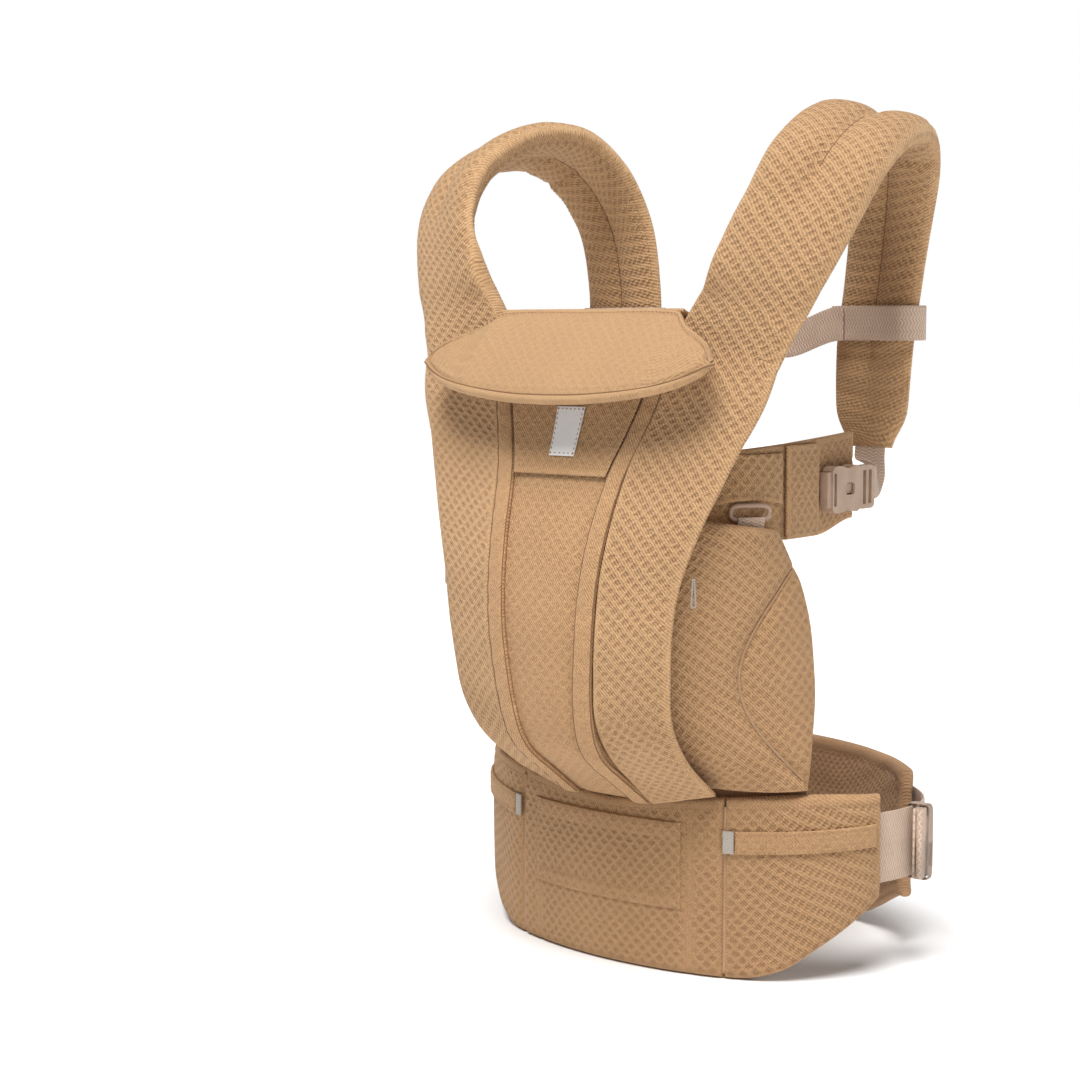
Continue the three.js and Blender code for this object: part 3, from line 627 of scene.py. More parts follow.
def knit(name, light, dark, pitch=(8.6, 7.8), deep=1.0, fine=1.0, hollow=0.5, lattice=0.0):
    """Spacer knit: staggered soft hollows over a fine stitch of loops. lattice above 0 adds crossing ribs.
    The colour is darker in the hollows and between the loops, painted shade on top of the bump; hollow sets
    how much the hollows darken.
    """
    n = Nodes(name)
    cloth, place_at, middle = n.cloth(), n.place(), (0.5, 0.5, 0)
    wander = n.vector("SUBTRACT", n.noise(cloth, 0.05, 1.0, "Color"), (0.5, 0.5, 0.5))
    drift = n.vector("MULTIPLY", wander, (2.6, 2.6, 0))
    cell = n.vector("MULTIPLY", n.vector("ADD", cloth, drift), (1 / pitch[0], 1 / pitch[1], 0))
    whole = n.vector("SUBTRACT", n.vector("FRACTION", cell), middle)
    half = n.vector("SUBTRACT", n.vector("FRACTION", n.vector("ADD", cell, middle)), middle)
    near = n.maths("MINIMUM", chevron(n, whole, pitch), chevron(n, half, pitch))
    dimple = n.ramp(near, 0.10, 0.40, 1.0, 0.0)
    if lattice:
        metric = n.vector("DOT_PRODUCT", n.vector("ABSOLUTE", whole), (1, 1, 0))
        rib = n.ramp(n.maths("MINIMUM", metric, n.take(1.0, metric)), 0.24, 0.47, 1.0, 0.0)
        dimple = n.add(n.times(rib, lattice), n.times(dimple, 1 - lattice))
    dimple = n.times(dimple, n.take(1.0, n.times(n.mark("flat"), 0.85)))
    turned = n.vector("ADD", cloth, n.vector("MULTIPLY", drift, (0.3, 0.3, 0)))
    across, along = n.parts(n.vector("MULTIPLY", turned, LOOP_TURN))
    loops = n.times(n.sine(across), n.sine(along))
    fuzz = n.noise(n.vector("MULTIPLY", cloth, (0.85, 0.6, 0)), 1.0, 3.0)
    ribs = n.add(n.sine(n.vector("DOT_PRODUCT", turned, RIB_TURN)), n.times(loops, 0.6))
    weave = n.add(n.ramp(fuzz, 0.32, 0.68, 0.0, 0.5), n.ramp(ribs, -1.3, 1.3, 0.0, 0.5))
    # Colour share: painted shade in the hollows and in the loops' valleys, plus a random tone.
    depth = n.add(n.times(dimple, hollow), n.ramp(weave, 0.15, 0.85, 0.52 * fine, -0.10))
    depth = n.add(depth, n.ramp(n.noise(place_at, 14.0, 3.0), 0.3, 0.75, -0.06, 0.10), clamp=True)
    wear = n.times(n.mark("hem"), n.ramp(n.noise(place_at, 70.0), 0.42, 0.7, 0.0, 0.45))
    rubbed = [min(1.0, c * 1.12 + 0.01) for c in light]
    colour = n.tones(wear, n.tones(depth, light, dark), rubbed)
    relief = n.take(n.times(weave, 0.42 * fine), n.times(dimple, deep))
    return n.finish(colour, n.ramp(dimple, 0, 1, 0.86, 0.97), relief, 0.9, 0.0013, 0.18, 0.2,
                    sheen_roughness=0.5, sheen_tint=(1.0, 0.84, 0.66, 1))


def webbing(name, light, dark, pitch=1.5):
    """Flat woven strap: fine slanted ribs across and a herringbone along, a little sheen. Its colour is
    darker where the weave lies low, painted shade, with a random tone.
    """
    n = Nodes(name)
    x, y = n.parts(n.cloth())
    slant = n.add(n.times(y, 1 / pitch), n.times(n.maths("PINGPONG", x, 3.1), 0.62 / pitch))
    warp, weft = n.sine(n.times(slant, 2 * math.pi)), n.sine(n.times(x, 2 * math.pi / 0.95))
    height = n.add(n.times(warp, 0.5), n.times(weft, 0.28))
    cloud = n.noise(n.place(), 40.0)
    # Colour share: painted shade in the weave's low places, plus a random tone.
    share = n.add(n.ramp(height, -0.7, 0.6, 0.8, 0.0), n.ramp(cloud, 0.3, 0.7, -0.08, 0.12), clamp=True)
    return n.finish(n.tones(share, light, dark), n.ramp(height, -0.7, 0.7, 0.78, 0.58), height, 0.8, 0.0004,
                    0.2, 0.35)


def moulded(name, light, dark):
    """Moulded plastic with a fine spark-eroded grain and slight rubbing."""
    n = Nodes(name)
    grain, cloud = n.noise(n.place(), 2600.0), n.noise(n.place(), 60.0, 3.0)
    return n.finish(n.tones(n.ramp(cloud, 0.3, 0.7), light, dark), n.ramp(cloud, 0.25, 0.75, 0.36, 0.5),
                    grain, 0.18, 0.0001, specular=0.45)


def plain_cloth(name, light, dark, pitch=0.9, sheen=0.2):
    """Fine plain weave for labels, threads and bindings."""
    n = Nodes(name)
    wave = n.noise(n.vector("MULTIPLY", n.place(), (1000 / pitch,) * 3), 1.0, 1.0)
    cloud = n.noise(n.place(), 45.0)
    share = n.add(n.ramp(wave, 0.35, 0.65, 0.0, 0.6), n.ramp(cloud, 0.3, 0.7, -0.1, 0.2), clamp=True)
    return n.finish(n.tones(share, light, dark), 0.85, wave, 0.5, 0.0002, sheen)


# Each _DARK tone is what the knits and webbing are painted in their hollows and weave valleys: painted shade.
TAN = (0.560, 0.335, 0.168)
TAN_DARK = (0.270, 0.145, 0.070)
PALE = (0.600, 0.370, 0.190)
PALE_DARK = (0.360, 0.205, 0.105)
TAUPE = (0.680, 0.510, 0.395)
TAUPE_DARK = (0.390, 0.275, 0.200)

# The belt's and the head pad's knits are TAN and PALE darkened: shaded copies of the same fabric, painted
# shade to match how light falls on the belt's upright faces and on the pad's top.
shaded_belt_knit = knit("shaded_belt_knit", (0.485, 0.290, 0.146), TAN_DARK, (8.8, 9.2), 0.9, 1.1, 0.44, lattice=0.35)
strap_knit = knit("strap_knit", PALE, TAN_DARK, (8.8, 9.2), 0.8, 1.2, 0.40, lattice=0.25)
panel_knit = knit("panel_knit", TAN, TAN_DARK, (9.5, 9.5), 0.4, 1.2, 0.20, lattice=0.5)
wing_knit = knit("wing_knit", TAN, TAN_DARK, (8.8, 9.2), 0.8, 1.2, 0.40, lattice=0.4)
shaded_pad_knit = knit("shaded_pad_knit", (0.500, 0.308, 0.158), PALE_DARK, (8.8, 9.2), 0.25, 0.9, 0.16, lattice=0.6)
lining_knit = knit("lining_knit", (0.47, 0.28, 0.15), TAN_DARK, (6.4, 6.4), 0.5, 1.0, 0.4, lattice=0.5)
tape = plain_cloth("binding_tape", (0.46, 0.275, 0.145), (0.31, 0.175, 0.085))
thread = plain_cloth("thread", (0.40, 0.235, 0.12), (0.27, 0.15, 0.07), 0.5, 0.1)
# Painted shadow: a dark cloth for thin tubes laid in seams and creases where shade falls.
painted_seam_shadow = plain_cloth("seam_shadow", (0.24, 0.13, 0.06), (0.15, 0.078, 0.035), 0.6, 0.0)
strap_web = webbing("woven_strap", TAUPE, TAUPE_DARK, 2.4)
keeper_web = webbing("keeper_elastic", (0.440, 0.330, 0.255), TAUPE_DARK, 1.6)
elastic = webbing("ribbed_elastic", (0.50, 0.45, 0.39), (0.30, 0.26, 0.22), 1.6)
plastic = moulded("moulded_acetal", (0.48, 0.335, 0.245), (0.41, 0.28, 0.20))
label_cloth = plain_cloth("label_cloth", (0.80, 0.79, 0.78), (0.70, 0.69, 0.68), 0.5, 0.1)


# ------------------------------------------------------------------ waistbelt

BELT_STEP, BELT_ROUNDING = 3.0, 6.0
BELT_SKIN = BELT["thick"] / 2
BELT_TOP_SEAM = 7.5  # mm below the belt's upper edge
DOUBLE_SEAM = 21.6  # degrees, double row of stitches down the belt's front
SEAM_GAP = 0.08  # degrees between two panels of the belt
BAND_LOW, BAND_HIGH = 87.0, 103.0


def belt_surface(first, last):
    """The belt's middle surface between two angles of its ring."""
    def surface(u, v):
        degrees = mix(first, last, u)
        away = np.abs(degrees)
        return ring_point(degrees, 0, mix(belt_bottom(away), belt_top(away), v))

    return surface


def add_belt_front():
    seam_at = BELT["seam"] - SEAM_GAP

    def front(p):
        degrees = mix(-seam_at, seam_at, p.u)
        height = 6.6 + 1.1 * arch(p.v) ** 0.8
        for line in (-DOUBLE_SEAM - 1.2, DOUBLE_SEAM, DOUBLE_SEAM + 1.6):
            height = height - 0.9 * bell(degrees, line, 0.55)
        height = height - 1.6 * bell(p.top, BELT_TOP_SEAM, 1.8) - 0.5 * (p.top < BELT_TOP_SEAM)
        return height + 0.35 * p.wander(26, 19, 3) + 0.3 * bell(p.top, 14, 6) * p.wander(9, 9, 4)

    def flat(p):
        degrees = mix(-seam_at, seam_at, p.u)
        bands = bell(degrees, DOUBLE_SEAM + 0.8, 1.6) + bell(degrees, -DOUBLE_SEAM - 1.2, 1.2)
        return bands + fade(6, 9, p.top) + fade(2, 5, p.edge)

    quilt = Quilt("belt_front_pad", belt_surface(-seam_at, seam_at), front,
                  lambda p: 5.6 + 0.3 * p.wander(24, 18, 5), (205, 122), BELT_STEP, shaded_belt_knit, flat,
                  round_edge=BELT_ROUNDING)
    place(quilt.obj, "knit", "waistbelt_front")
    for degrees in (DOUBLE_SEAM, DOUBLE_SEAM + 1.6, -DOUBLE_SEAM - 1.2):
        quilt.stitch((degrees + seam_at) / (2 * seam_at), (0.02, 0.985))
    quilt.stitch((0.01, 0.99, 120), 0.94)


def add_belt_patch():
    def surface(u, v):
        return ring_point(mix(-23, 20, u), BELT_SKIN + 1.3, mix(44, 106, v))

    def front(p):
        bands = smooth(50, 52, p.t) + fade(9, 11, p.t)
        channel = bell(p.t, 51.0, 1.0) + bell(p.t, 10.0, 1.0)
        return 0.9 + (0.9 * bands - 0.5 * channel + 0.25 * p.wander(17, 13, 11)) * smooth(0, 7, p.ends)

    quilt = Quilt("belt_front_pocket", surface, front, 0.7, (118, 62), 2.2, shaded_belt_knit,
                  lambda p: 0.45 * (smooth(49, 51, p.t) + fade(10, 12, p.t)), 1, 0.6, 2.0)
    place(quilt.obj, "knit", "belt_front_patch")
    for level in (0.035, 0.155, 0.84, 0.965):
        quilt.stitch((0.02, 0.98, 80), level)


def add_belt_wing(word, side):
    first, last = BELT["seam"] + SEAM_GAP, BELT["tip"]

    def front(p):
        height = 6.5 + 1.0 * arch(p.v) ** 0.8
        height = height - 1.2 * bell(p.top, BELT_TOP_SEAM, 1.8) - 0.9 * bell(p.rear, 7.0, 1.6)
        dart = bell(p.s, 8 - 0.035 * p.t, 1.4) * smooth(0, 12, p.top - 20)
        return height - 1.0 * dart + 0.35 * p.wander(24, 20, 21 + side)

    quilt = Quilt("belt_wing_pad_" + word, belt_surface(first, last), front,
                  lambda p: 5.6 + 0.3 * p.wander(25, 18, 23), (125, 110), BELT_STEP, shaded_belt_knit,
                  lambda p: fade(6, 9, p.top) + fade(6, 8, p.rear) + fade(2, 4, p.edge), side,
                  round_edge=BELT_ROUNDING)
    place(quilt.obj, "knit", "waistbelt_wing_" + word)
    quilt.stitch((0.015, 0.985, 80), 0.935)
    quilt.stitch(0.945, (0.02, 0.98))

    def band(u, v):
        return ring_point(mix(first + 2.4, last - 4, u), BELT_SKIN + 2.0, mix(BAND_LOW, BAND_HIGH, v) + 5 * u)

    def band_front(p):
        return 1.5 - 0.5 * bell(p.t, 2.6, 0.8) - 0.5 * bell(p.t, 13.6, 0.8) + 0.22 * np.sin(p.s * 0.55)

    edge = Quilt("pocket_edge_" + word, band, band_front, 0.7, (112, 16), 2.0, shaded_belt_knit, 0.75, side,
                 0.5, 1.6)
    place(edge.obj, "knit", "pocket_band_" + word)
    for level in (0.14, 0.86):
        edge.stitch((0.01, 0.99, 80), level)
    edge.stitch(0.19, (0.1, 0.9, 8))

    def tag(u, v):
        return ring_point(mix(30.4, 33.1, u), BELT_SKIN + 2.2, mix(BAND_LOW, BAND_HIGH, v))

    end = Quilt("elastic_end_" + word, tag, 0.7, 0.7, (6.5, 16), 1.5, elastic, 0, side, 0.4, 1.0)
    place(end.obj, "elastic_tape", "elastic_tab_" + word)


def add_inner_tapes():
    """Facings sewn inside, over the belt's upright seams and where the body is joined to the belt."""
    inside = -7.4

    def facing(u, v):
        degrees = mix(-54, 54, u)
        away = np.abs(ring_point(degrees, 0, 0)[..., 0])
        low, high = belt_top(np.abs(degrees)) - 9, mix(139, 137, smooth(56, 66, away))
        bulge = 7 * bell(away, 82, 16) * smooth(0.3, 0.8, v)
        base = ring_point(degrees, inside - bulge, mix(low, high, v))
        z = base[..., 2]
        behind = panel_skin(base[..., 0] / panel_half(z), z)[..., 1] + 6.5
        base[..., 1] = mix(base[..., 1], behind, smooth(0.32, 1, v) * fade(56, 70, away))
        return base

    def face(p):
        return 0.8 + 0.15 * p.wander(12, 9, 35)

    quilt = Quilt("waist_seam_facing", facing, face, face, (300, 28), 2.4, lining_knit, 0.8, 1, 0.5, 1.2)
    place(quilt.obj, "lining")
    for level in (0.08, 0.92):
        quilt.stitch((0.01, 0.99, 160), level, True)
    for word, side in SIDES:
        def upright(u, v):
            return ring_point(BELT["seam"] + mix(-2.4, 2.4, u), inside, mix(3, 113, v))

        cover = Quilt("belt_seam_tape_" + word, upright, face, face, (13, 110), 2.4, lining_knit, 0.8, side,
                      0.5, 1.2)
        place(cover.obj, "lining")
        core, outer = (ring_point(side * BELT["seam"], offset, straight(0.5, 119)) for offset in (3.4, 13.4))
        seam("belt_seam_" + word, core, outer - core, 1.5, tape)
        for end in (0.15, 0.85):
            cover.stitch(end, (0.02, 0.98, 40), True)


def add_lumbar_pad():
    def surface(u, v):
        swing = 2 * u - 1
        top = mix(LUMBAR["end_top"], LUMBAR["top"], np.cos(swing * math.pi / 2))
        low = mix(FLOOR, LUMBAR["end_bottom"], smooth(0.35, 1, np.abs(swing)))
        return ring_point(180 + swing * (180 - LUMBAR["end"]), -1, mix(low, top, v))

    def quilted(seed, channel):
        def face(p):
            across = np.abs((p.t / 22.0) % 1 - 0.5)
            height = 5.6 + 0.5 * np.cos(2 * math.pi * (across - 0.5)) + 0.3 * p.wander(24, 20, seed)
            return height - channel * bell(p.edge, 9, 1.8)

        return face

    quilt = Quilt("lumbar_cushion", surface, quilted(31, 1.8), quilted(33, 1.2), (290, 125), BELT_STEP,
                  lining_knit, lambda p: fade(7, 9, p.edge), 1, 1.0, BELT_ROUNDING)
    place(quilt.obj, "lining", "lumbar_pad")
    quilt.settle(2.5, lambda p: fade(1, 3, p.edge) + bell(p.edge, 9, 1.6))
    for level in (0.075, 0.925):
        for back in (False, True):
            quilt.stitch((0.035, 0.965, 160), level, back)


# ------------------------------------------------------------------ webbing strips


def strip(name, surface, length, width, side=1, step=3.0):
    """Flat woven webbing about a middle surface: u runs along it and v across."""
    half = WEB_THICK / 2

    def face(p):
        return half * (0.86 + 0.14 * smooth(0.6, 1.6, np.minimum(p.t, p.top)))

    return Quilt(name, surface, face, face, (length, width), step, strap_web, 0, side, half * 0.55, 0.8,
                 turned=True)


def add_ring_strip(word, angles, offsets, z, length):
    """Waist webbing along the belt's ring."""
    def surface(u, v):
        return ring_point(mix(*angles, u), mix(*offsets, smooth(0, 1, u)), z + mix(-WIDE / 2, WIDE / 2, v))

    place(strip("waist_strap_" + word, surface, length, WIDE).obj, "webbing", "waist_webbing_" + word)


def add_waist_webbing():
    add_ring_strip("right", (79, 117), (0, 9), ROLL["z"], 108)
    add_ring_strip("rear", (118, 236), (9, 9), ROLL["z"], 340)
    add_ring_strip("left", (-79, -81), (1, 4), WAIST_BUCKLE_Z, 7)
    tail = through([(0, 82.6), (0.35, 83.2), (0.7, 86.8), (1, 91.8)])

    def surface(u, v):
        return stack(mix(-160, -138, u), tail(u), WAIST_BUCKLE_Z + mix(-WIDE / 2, WIDE / 2, v))

    obj = strip("waist_strap_tail", surface, 24, WIDE).obj
    place(obj, "webbing", "waist_webbing_tail", body="waist_buckle_male")


def add_rolled_end():
    """The spare end of the waist webbing, folded flat in three layers."""
    layers, layer_pitch, turn_height, turn_start = 3, 2.55, 1.28, 0.86
    leg = straight(0, 1, 90) * layers
    layer = np.minimum(np.floor(leg), layers - 1)
    along = leg - layer
    swing = np.where(layer % 2 == 0, along, 1 - along) * 2 - 1
    curl = np.clip((np.abs(swing) - turn_start) / (1 - turn_start), 0, 1)
    nudge = np.where(along > 0.5, 1, -1) * turn_height * (1 - np.sqrt(np.clip(1 - curl**2, 0, 1)))
    loose = (layer == 0) & (along < 0.5) | (layer == layers - 1) & (along > 0.5)
    offset = ROLL["offset"] + (layer - (layers - 1) / 2) * layer_pitch + np.where(loose, 0, nudge)
    degrees = ROLL["at"] + ROLL["half_turn"] * 0.97 * swing
    low, high = (ring_point(degrees, offset, ROLL["z"] + end) for end in (-WIDE / 2, WIDE / 2))
    out = unit(np.cross(unit(np.gradient(low, axis=0)), [0, 0, 1])) * WEB_THICK / 2
    run = np.concatenate([[0], np.cumsum(np.linalg.norm(np.diff(low, axis=0), axis=1))])
    uvs = np.stack([np.tile([0, WIDE, WIDE, 0], (len(run), 1)), np.tile(run[:, None], 4)], -1)
    sections = np.stack([low + out, high + out, high - out, low - out], 1)
    place(swept("folded_spare_webbing", sections, uvs, strap_web), "webbing", "webbing_roll")


def squared(wave, power):
    """A cosine or sine bent towards a rounded square."""
    return np.sign(wave) * np.abs(wave) ** power


def add_keeper():
    """Elastic loop that holds the folded webbing end."""
    long, high, width, thick = 17.4, WIDE + 4.0, 6.0, 0.9
    count, corner, inner_edge = 56, 0.22, 0.8
    middle = ring_point(ROLL["at"], 9.6, ROLL["z"])
    turn = math.radians(ROLL["at"] - 93)
    spin = np.array([[math.cos(turn), math.sin(turn), 0], [-math.sin(turn), math.cos(turn), 0], [0, 0, 1]])
    angles = np.arange(count) * 2 * math.pi / count
    x, z = squared(np.cos(angles), corner) * long / 2, squared(np.sin(angles), corner) * high / 2
    radial = unit(stack(x / long, 0, z / high))
    shares = (-1, -inner_edge, inner_edge, 1)
    columns, uvs = [], []
    for share, way in [(share, 1) for share in shares] + [(share, -1) for share in shares[::-1]]:
        lift = thick / 2 * way * (0.75 if abs(share) == 1 else 1.0)
        columns.append(middle + (stack(x, share * width / 2, z) + radial * lift) @ spin)
        uvs.append(stack(share * width / 2, np.arange(count) * 2.4, 0)[:, :2])
    obj = swept("elastic_keeper", np.stack(columns, 1), np.stack(uvs, 1), keeper_web, closed=True)
    place(obj, "elastic_tape", "webbing_keeper", body="webbing_keeper")


# ------------------------------------------------------------------ body panel

PANEL_FACE = 4.0  # mm, from the panel's middle surface to its front


def add_panel():
    def surface(u, v):
        z = mix(PANEL_FOOT - 5.5, PANEL_HEAD, v)
        half = (panel_seam(z) - 0.5) / panel_half(z)
        return panel_point(mix(-half, half, u), z)

    def front(p):
        channel = 0.9 * bell(p.ends, 15.5, 1.6) * (p.t < 235)
        return PANEL_FACE + 0.8 * arch(p.u) + 0.35 * p.wander(21, 33, 41) - channel

    quilt = Quilt("panel_middle", surface, front, 3.6, (115, 350), 3.0, panel_knit,
                  lambda p: fade(3, 5, p.edge), 1, 1.0, 4.0)
    place(quilt.obj, "knit", "center_panel")


def add_lining():
    def surface(u, v):
        return panel_point(mix(-0.82, 0.82, u), mix(PANEL_FOOT + 14, PANEL_HEAD - 12, v), -13)

    def face(p):
        return 1.1 + 0.35 * p.wander(18, 22, 43)

    quilt = Quilt("panel_lining", surface, face, face, (170, 315), 3.5, lining_knit, 0, 1, 0.5, 2.5)
    place(quilt.obj, "lining", "inner_liner")
    for end in (0.025, 0.975):
        quilt.stitch(end, (0.01, 0.99, 90), True)
    for level in (0.015, 0.985):
        quilt.stitch((0.03, 0.97), level, True)


def add_flap():
    def surface(u, v):
        z = mix(348, 438, v)
        half = (panel_seam(z) - 15) / panel_half(z)
        return panel_point(mix(-half, half, u), z, PANEL_FACE + 3.0)

    def front(p):
        return 1.1 - 0.45 * bell(p.t, 5.5, 0.9) + 0.4 * (p.t < 5.5) + 0.3 * p.wander(15, 14, 45)

    quilt = Quilt("panel_flap", surface, front, 0.7, (95, 92), 2.4, panel_knit, lambda p: fade(4, 6, p.t),
                  1, 0.6, 2.0)
    place(quilt.obj, "knit", "front_flap")
    quilt.stitch((0.02, 0.98), 0.055)


def add_label():
    def surface(u, v):
        return panel_point(mix(-0.083, 0.083, u), mix(360, 394, v), PANEL_FACE + 5.1)

    patch = Quilt("blank_label", surface, 0.4, 0.4, (22, 35), 2.5, label_cloth, 0, 1, 0.25, 0.8)
    place(patch.obj, "label_cloth", "label_patch")
    run = (0.05, 0.95, 12)
    for end in run[:2]:
        patch.stitch(run, end)
    for end in run[:2]:
        patch.stitch(end, run)


def add_binding(word, side):
    """The soft rolled edge that follows the curved seam on each side of the middle panel."""
    def surface(u, v):
        z = mix(122.5, 424, v)
        return panel_point((panel_seam(z) - mix(13.5, -0.3, u)) / panel_half(z), z, PANEL_FACE + 2.0)

    def front(p):
        pucker = 0.35 * np.sin(p.t / 2.6 + 2.5 * ripple(p.t / 40, p.s / 30, 47 + side))
        return 2.3 + 0.5 * arch(p.u) + pucker * (0.4 + bell(p.s, 12, 3))

    quilt = Quilt("seam_band_" + word, surface, front, 1.6, (13, 314), 1.6, panel_knit, 0.5, side, 1.0, 4.2)
    place(quilt.obj, "knit", "seam_binding_" + word)
    # The two dark tubes along the band's borders are painted shadow in the seam grooves.
    for kind, end, radius, lift in (("outer", 0.975, 0.5, 0.15), ("inner", 0.03, 0.38, 0.1)):
        quilt.piping(f"panel_seam_{kind}_{word}", end, (0.005, 0.985, 160), radius, painted_seam_shadow, lift)


# ------------------------------------------------------------------ head support


def support_surface(u, v):
    """The folded-down pad: u across and v from its fold to its lower edge."""
    tilt = math.radians(SUPPORT["tilt"])
    share = np.sin(math.pi / 2 * np.clip(2 * u - 1, -1.02, 1.02))
    away = np.abs(share)
    down = mix(support_upper(away) + 2, support_lower(away), v)
    clear = 7 * away**3 * (1 - 0.5 * v)
    y = SUPPORT["hinge_y"] - down * math.sin(tilt) - SUPPORT["forward"] - clear
    return stack(SUPPORT_REACH * share, y, SUPPORT["hinge_z"] - down * math.cos(tilt) - 3 * share**2)


def add_head_support():
    def crown(seed, sink):
        def face(p):
            height = 3.9 + 3.4 * smooth(0, 26, p.edge) - 1.7 * bell(p.edge, 5.0, 1.3)
            return height + 0.2 * p.wander(16, 14, seed) - sink

        return face

    quilt = Quilt("head_cushion", support_surface, crown(53, 2.2), crown(51, 0), (255, 84), 2.2, shaded_pad_knit,
                  lambda p: fade(3, 5, p.edge), 1, 1.6, 3.6)
    place(quilt.obj, "padded_knit", "head_support", body="head_support")
    quilt.settle(4.0, lambda p: fade(1, 4, p.edge) + bell(p.edge, 5, 1.4))
    us = straight(0.012, 0.988, 150)
    border = 1 - 4.6 / (4.6 + 78 * np.sin(math.pi * us) ** 0.6)
    # A dark tube of painted shadow along the pad's back seam.
    quilt.piping("head_pad_seam_shadow", us, border, 0.55, painted_seam_shadow, 0.1, True, "head_support")
    quilt.stitch((0.10, 0.90, 120), 0.045, True, "head_support")


def add_neck():
    """Fabric that turns over the panel's top edge into the folded pad."""
    def surface(u, v):
        turn = v * math.pi * 0.86
        y = SUPPORT["hinge_y"] - 7.5 * np.sin(turn) - 3.0 - 5 * v + 6.0 * (1 - v)
        return stack(NECK_REACH * (2 * u - 1), y, 457.0 + 8.0 * np.sin(turn * 0.62) - 3.0 * v)

    quilt = Quilt("neck_fold", surface, lambda p: 1.3 + 0.2 * p.wander(12, 9, 55), 1.0, (150, 22), 2.0,
                  shaded_pad_knit, 0, 1, 0.6, 1.5)
    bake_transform(quilt.obj)


# ------------------------------------------------------------------ shoulder straps


def strap_stations():
    """Rows of x, y, z, half width, thickness, yaw and roll from the belt to the buckle."""
    rows = []
    for z, thick, yaw in zip(STRAP_ON_PANEL, STRAP_PANEL_THICK, STRAP_PANEL_YAW):
        inner, outer = panel_seam(z) + 0.2, panel_half(z) * 0.99
        centre = panel_skin((inner + outer) / 2 / panel_half(z), z)
        rows.append((*centre[:2], z, (outer - inner) / 2, thick, yaw, 0.0))
    for point, *rest in zip(STRAP_PATH, STRAP_HALF, STRAP_THICK, STRAP_YAW, STRAP_ROLL):
        rows.append((*point, *rest))
    return np.array(rows, float)


STATIONS = strap_stations()
*strap_route, strap_half, strap_thick, strap_yaw, strap_roll = (evenly(column) for column in STATIONS.T)
STATION = 1.0 / (len(STATIONS) - 1)
STRAP_TAPER = 1 - 0.5 * STATION
STRAP_END = 1 - 1.15 * STATION
CREASE = 12.6 * STATION, 13.7 * STATION
LEAVES_PANEL = 10.6 * STATION, 12.4 * STATION
UNDER_LOOP = 17.6 * STATION, 18.4 * STATION
END_FOLDS = 20.1, 20.5
STRAP_FOLDS = [(15.9, 0.45, 0.55, 3.0), (16.6, 0.5, 0.5, 3.2), (15.2, -0.1, 0.5, 2.0),
               *((at, 0.0, 1.2, 2.6) for at in END_FOLDS)]  # station, place across, reach, depth


def strap_line(v):
    return stack(*(curve(v) for curve in strap_route))


def strap_surface(u, v):
    """u from 0 at the inner edge to 1 at the outer edge, v from the belt to the buckle."""
    along = unit(strap_line(np.minimum(v + 1e-3, 1)) - strap_line(np.maximum(v - 1e-3, 0)))
    yaw, roll = np.radians(strap_yaw(v)), np.radians(strap_roll(v))
    wide = stack(np.cos(yaw) * np.cos(roll), np.sin(yaw) * np.cos(roll), -np.sin(roll))
    wide = unit(wide - along * np.sum(wide * along, -1, keepdims=True))
    taper = 1 - 0.36 * smooth(STRAP_TAPER, 1, v) ** 2
    reach = (strap_half(v) * taper * (2 * np.asarray(u) - 1))[..., None]
    foot = -5.0 * (1 - np.asarray(u)) * fade(0, STATION, v)
    return strap_line(v) + wide * reach + stack(0, 0, foot)


def strap_folds(p):
    across, total = 2 * p.u - 1, 0.0
    for at, centre, reach, depth in STRAP_FOLDS:
        away = across - centre
        share = smooth(reach + 0.15, reach - 0.1, np.abs(away))
        total = total + depth * bell(p.v / STATION, at - 0.12 * away**2, 0.07) * share
    return total


def strap_height(p, groove):
    """One round pad on the panel, two rolls with a groove between them once it is free."""
    across = np.clip(2 * p.u - 1, -1, 1)
    across = np.where(across < 0, across * smooth(*LEAVES_PANEL, p.v), across)
    single = np.sqrt(np.clip(1 - np.abs(across) ** 3.4, 0, 1))
    roll = np.clip(np.abs(np.abs(across) - 0.5) / 0.52, 0, 1)
    rolls = 0.02 + 1.16 * np.sqrt(np.clip(1 - roll**2.2, 0, 1))
    share = smooth(*CREASE, p.v) * (1 - 0.8 * smooth(STRAP_END, 1, p.v)) * groove
    return np.maximum(strap_thick(p.v) / 2 * mix(single, rolls, share), 1.0) - strap_folds(p)


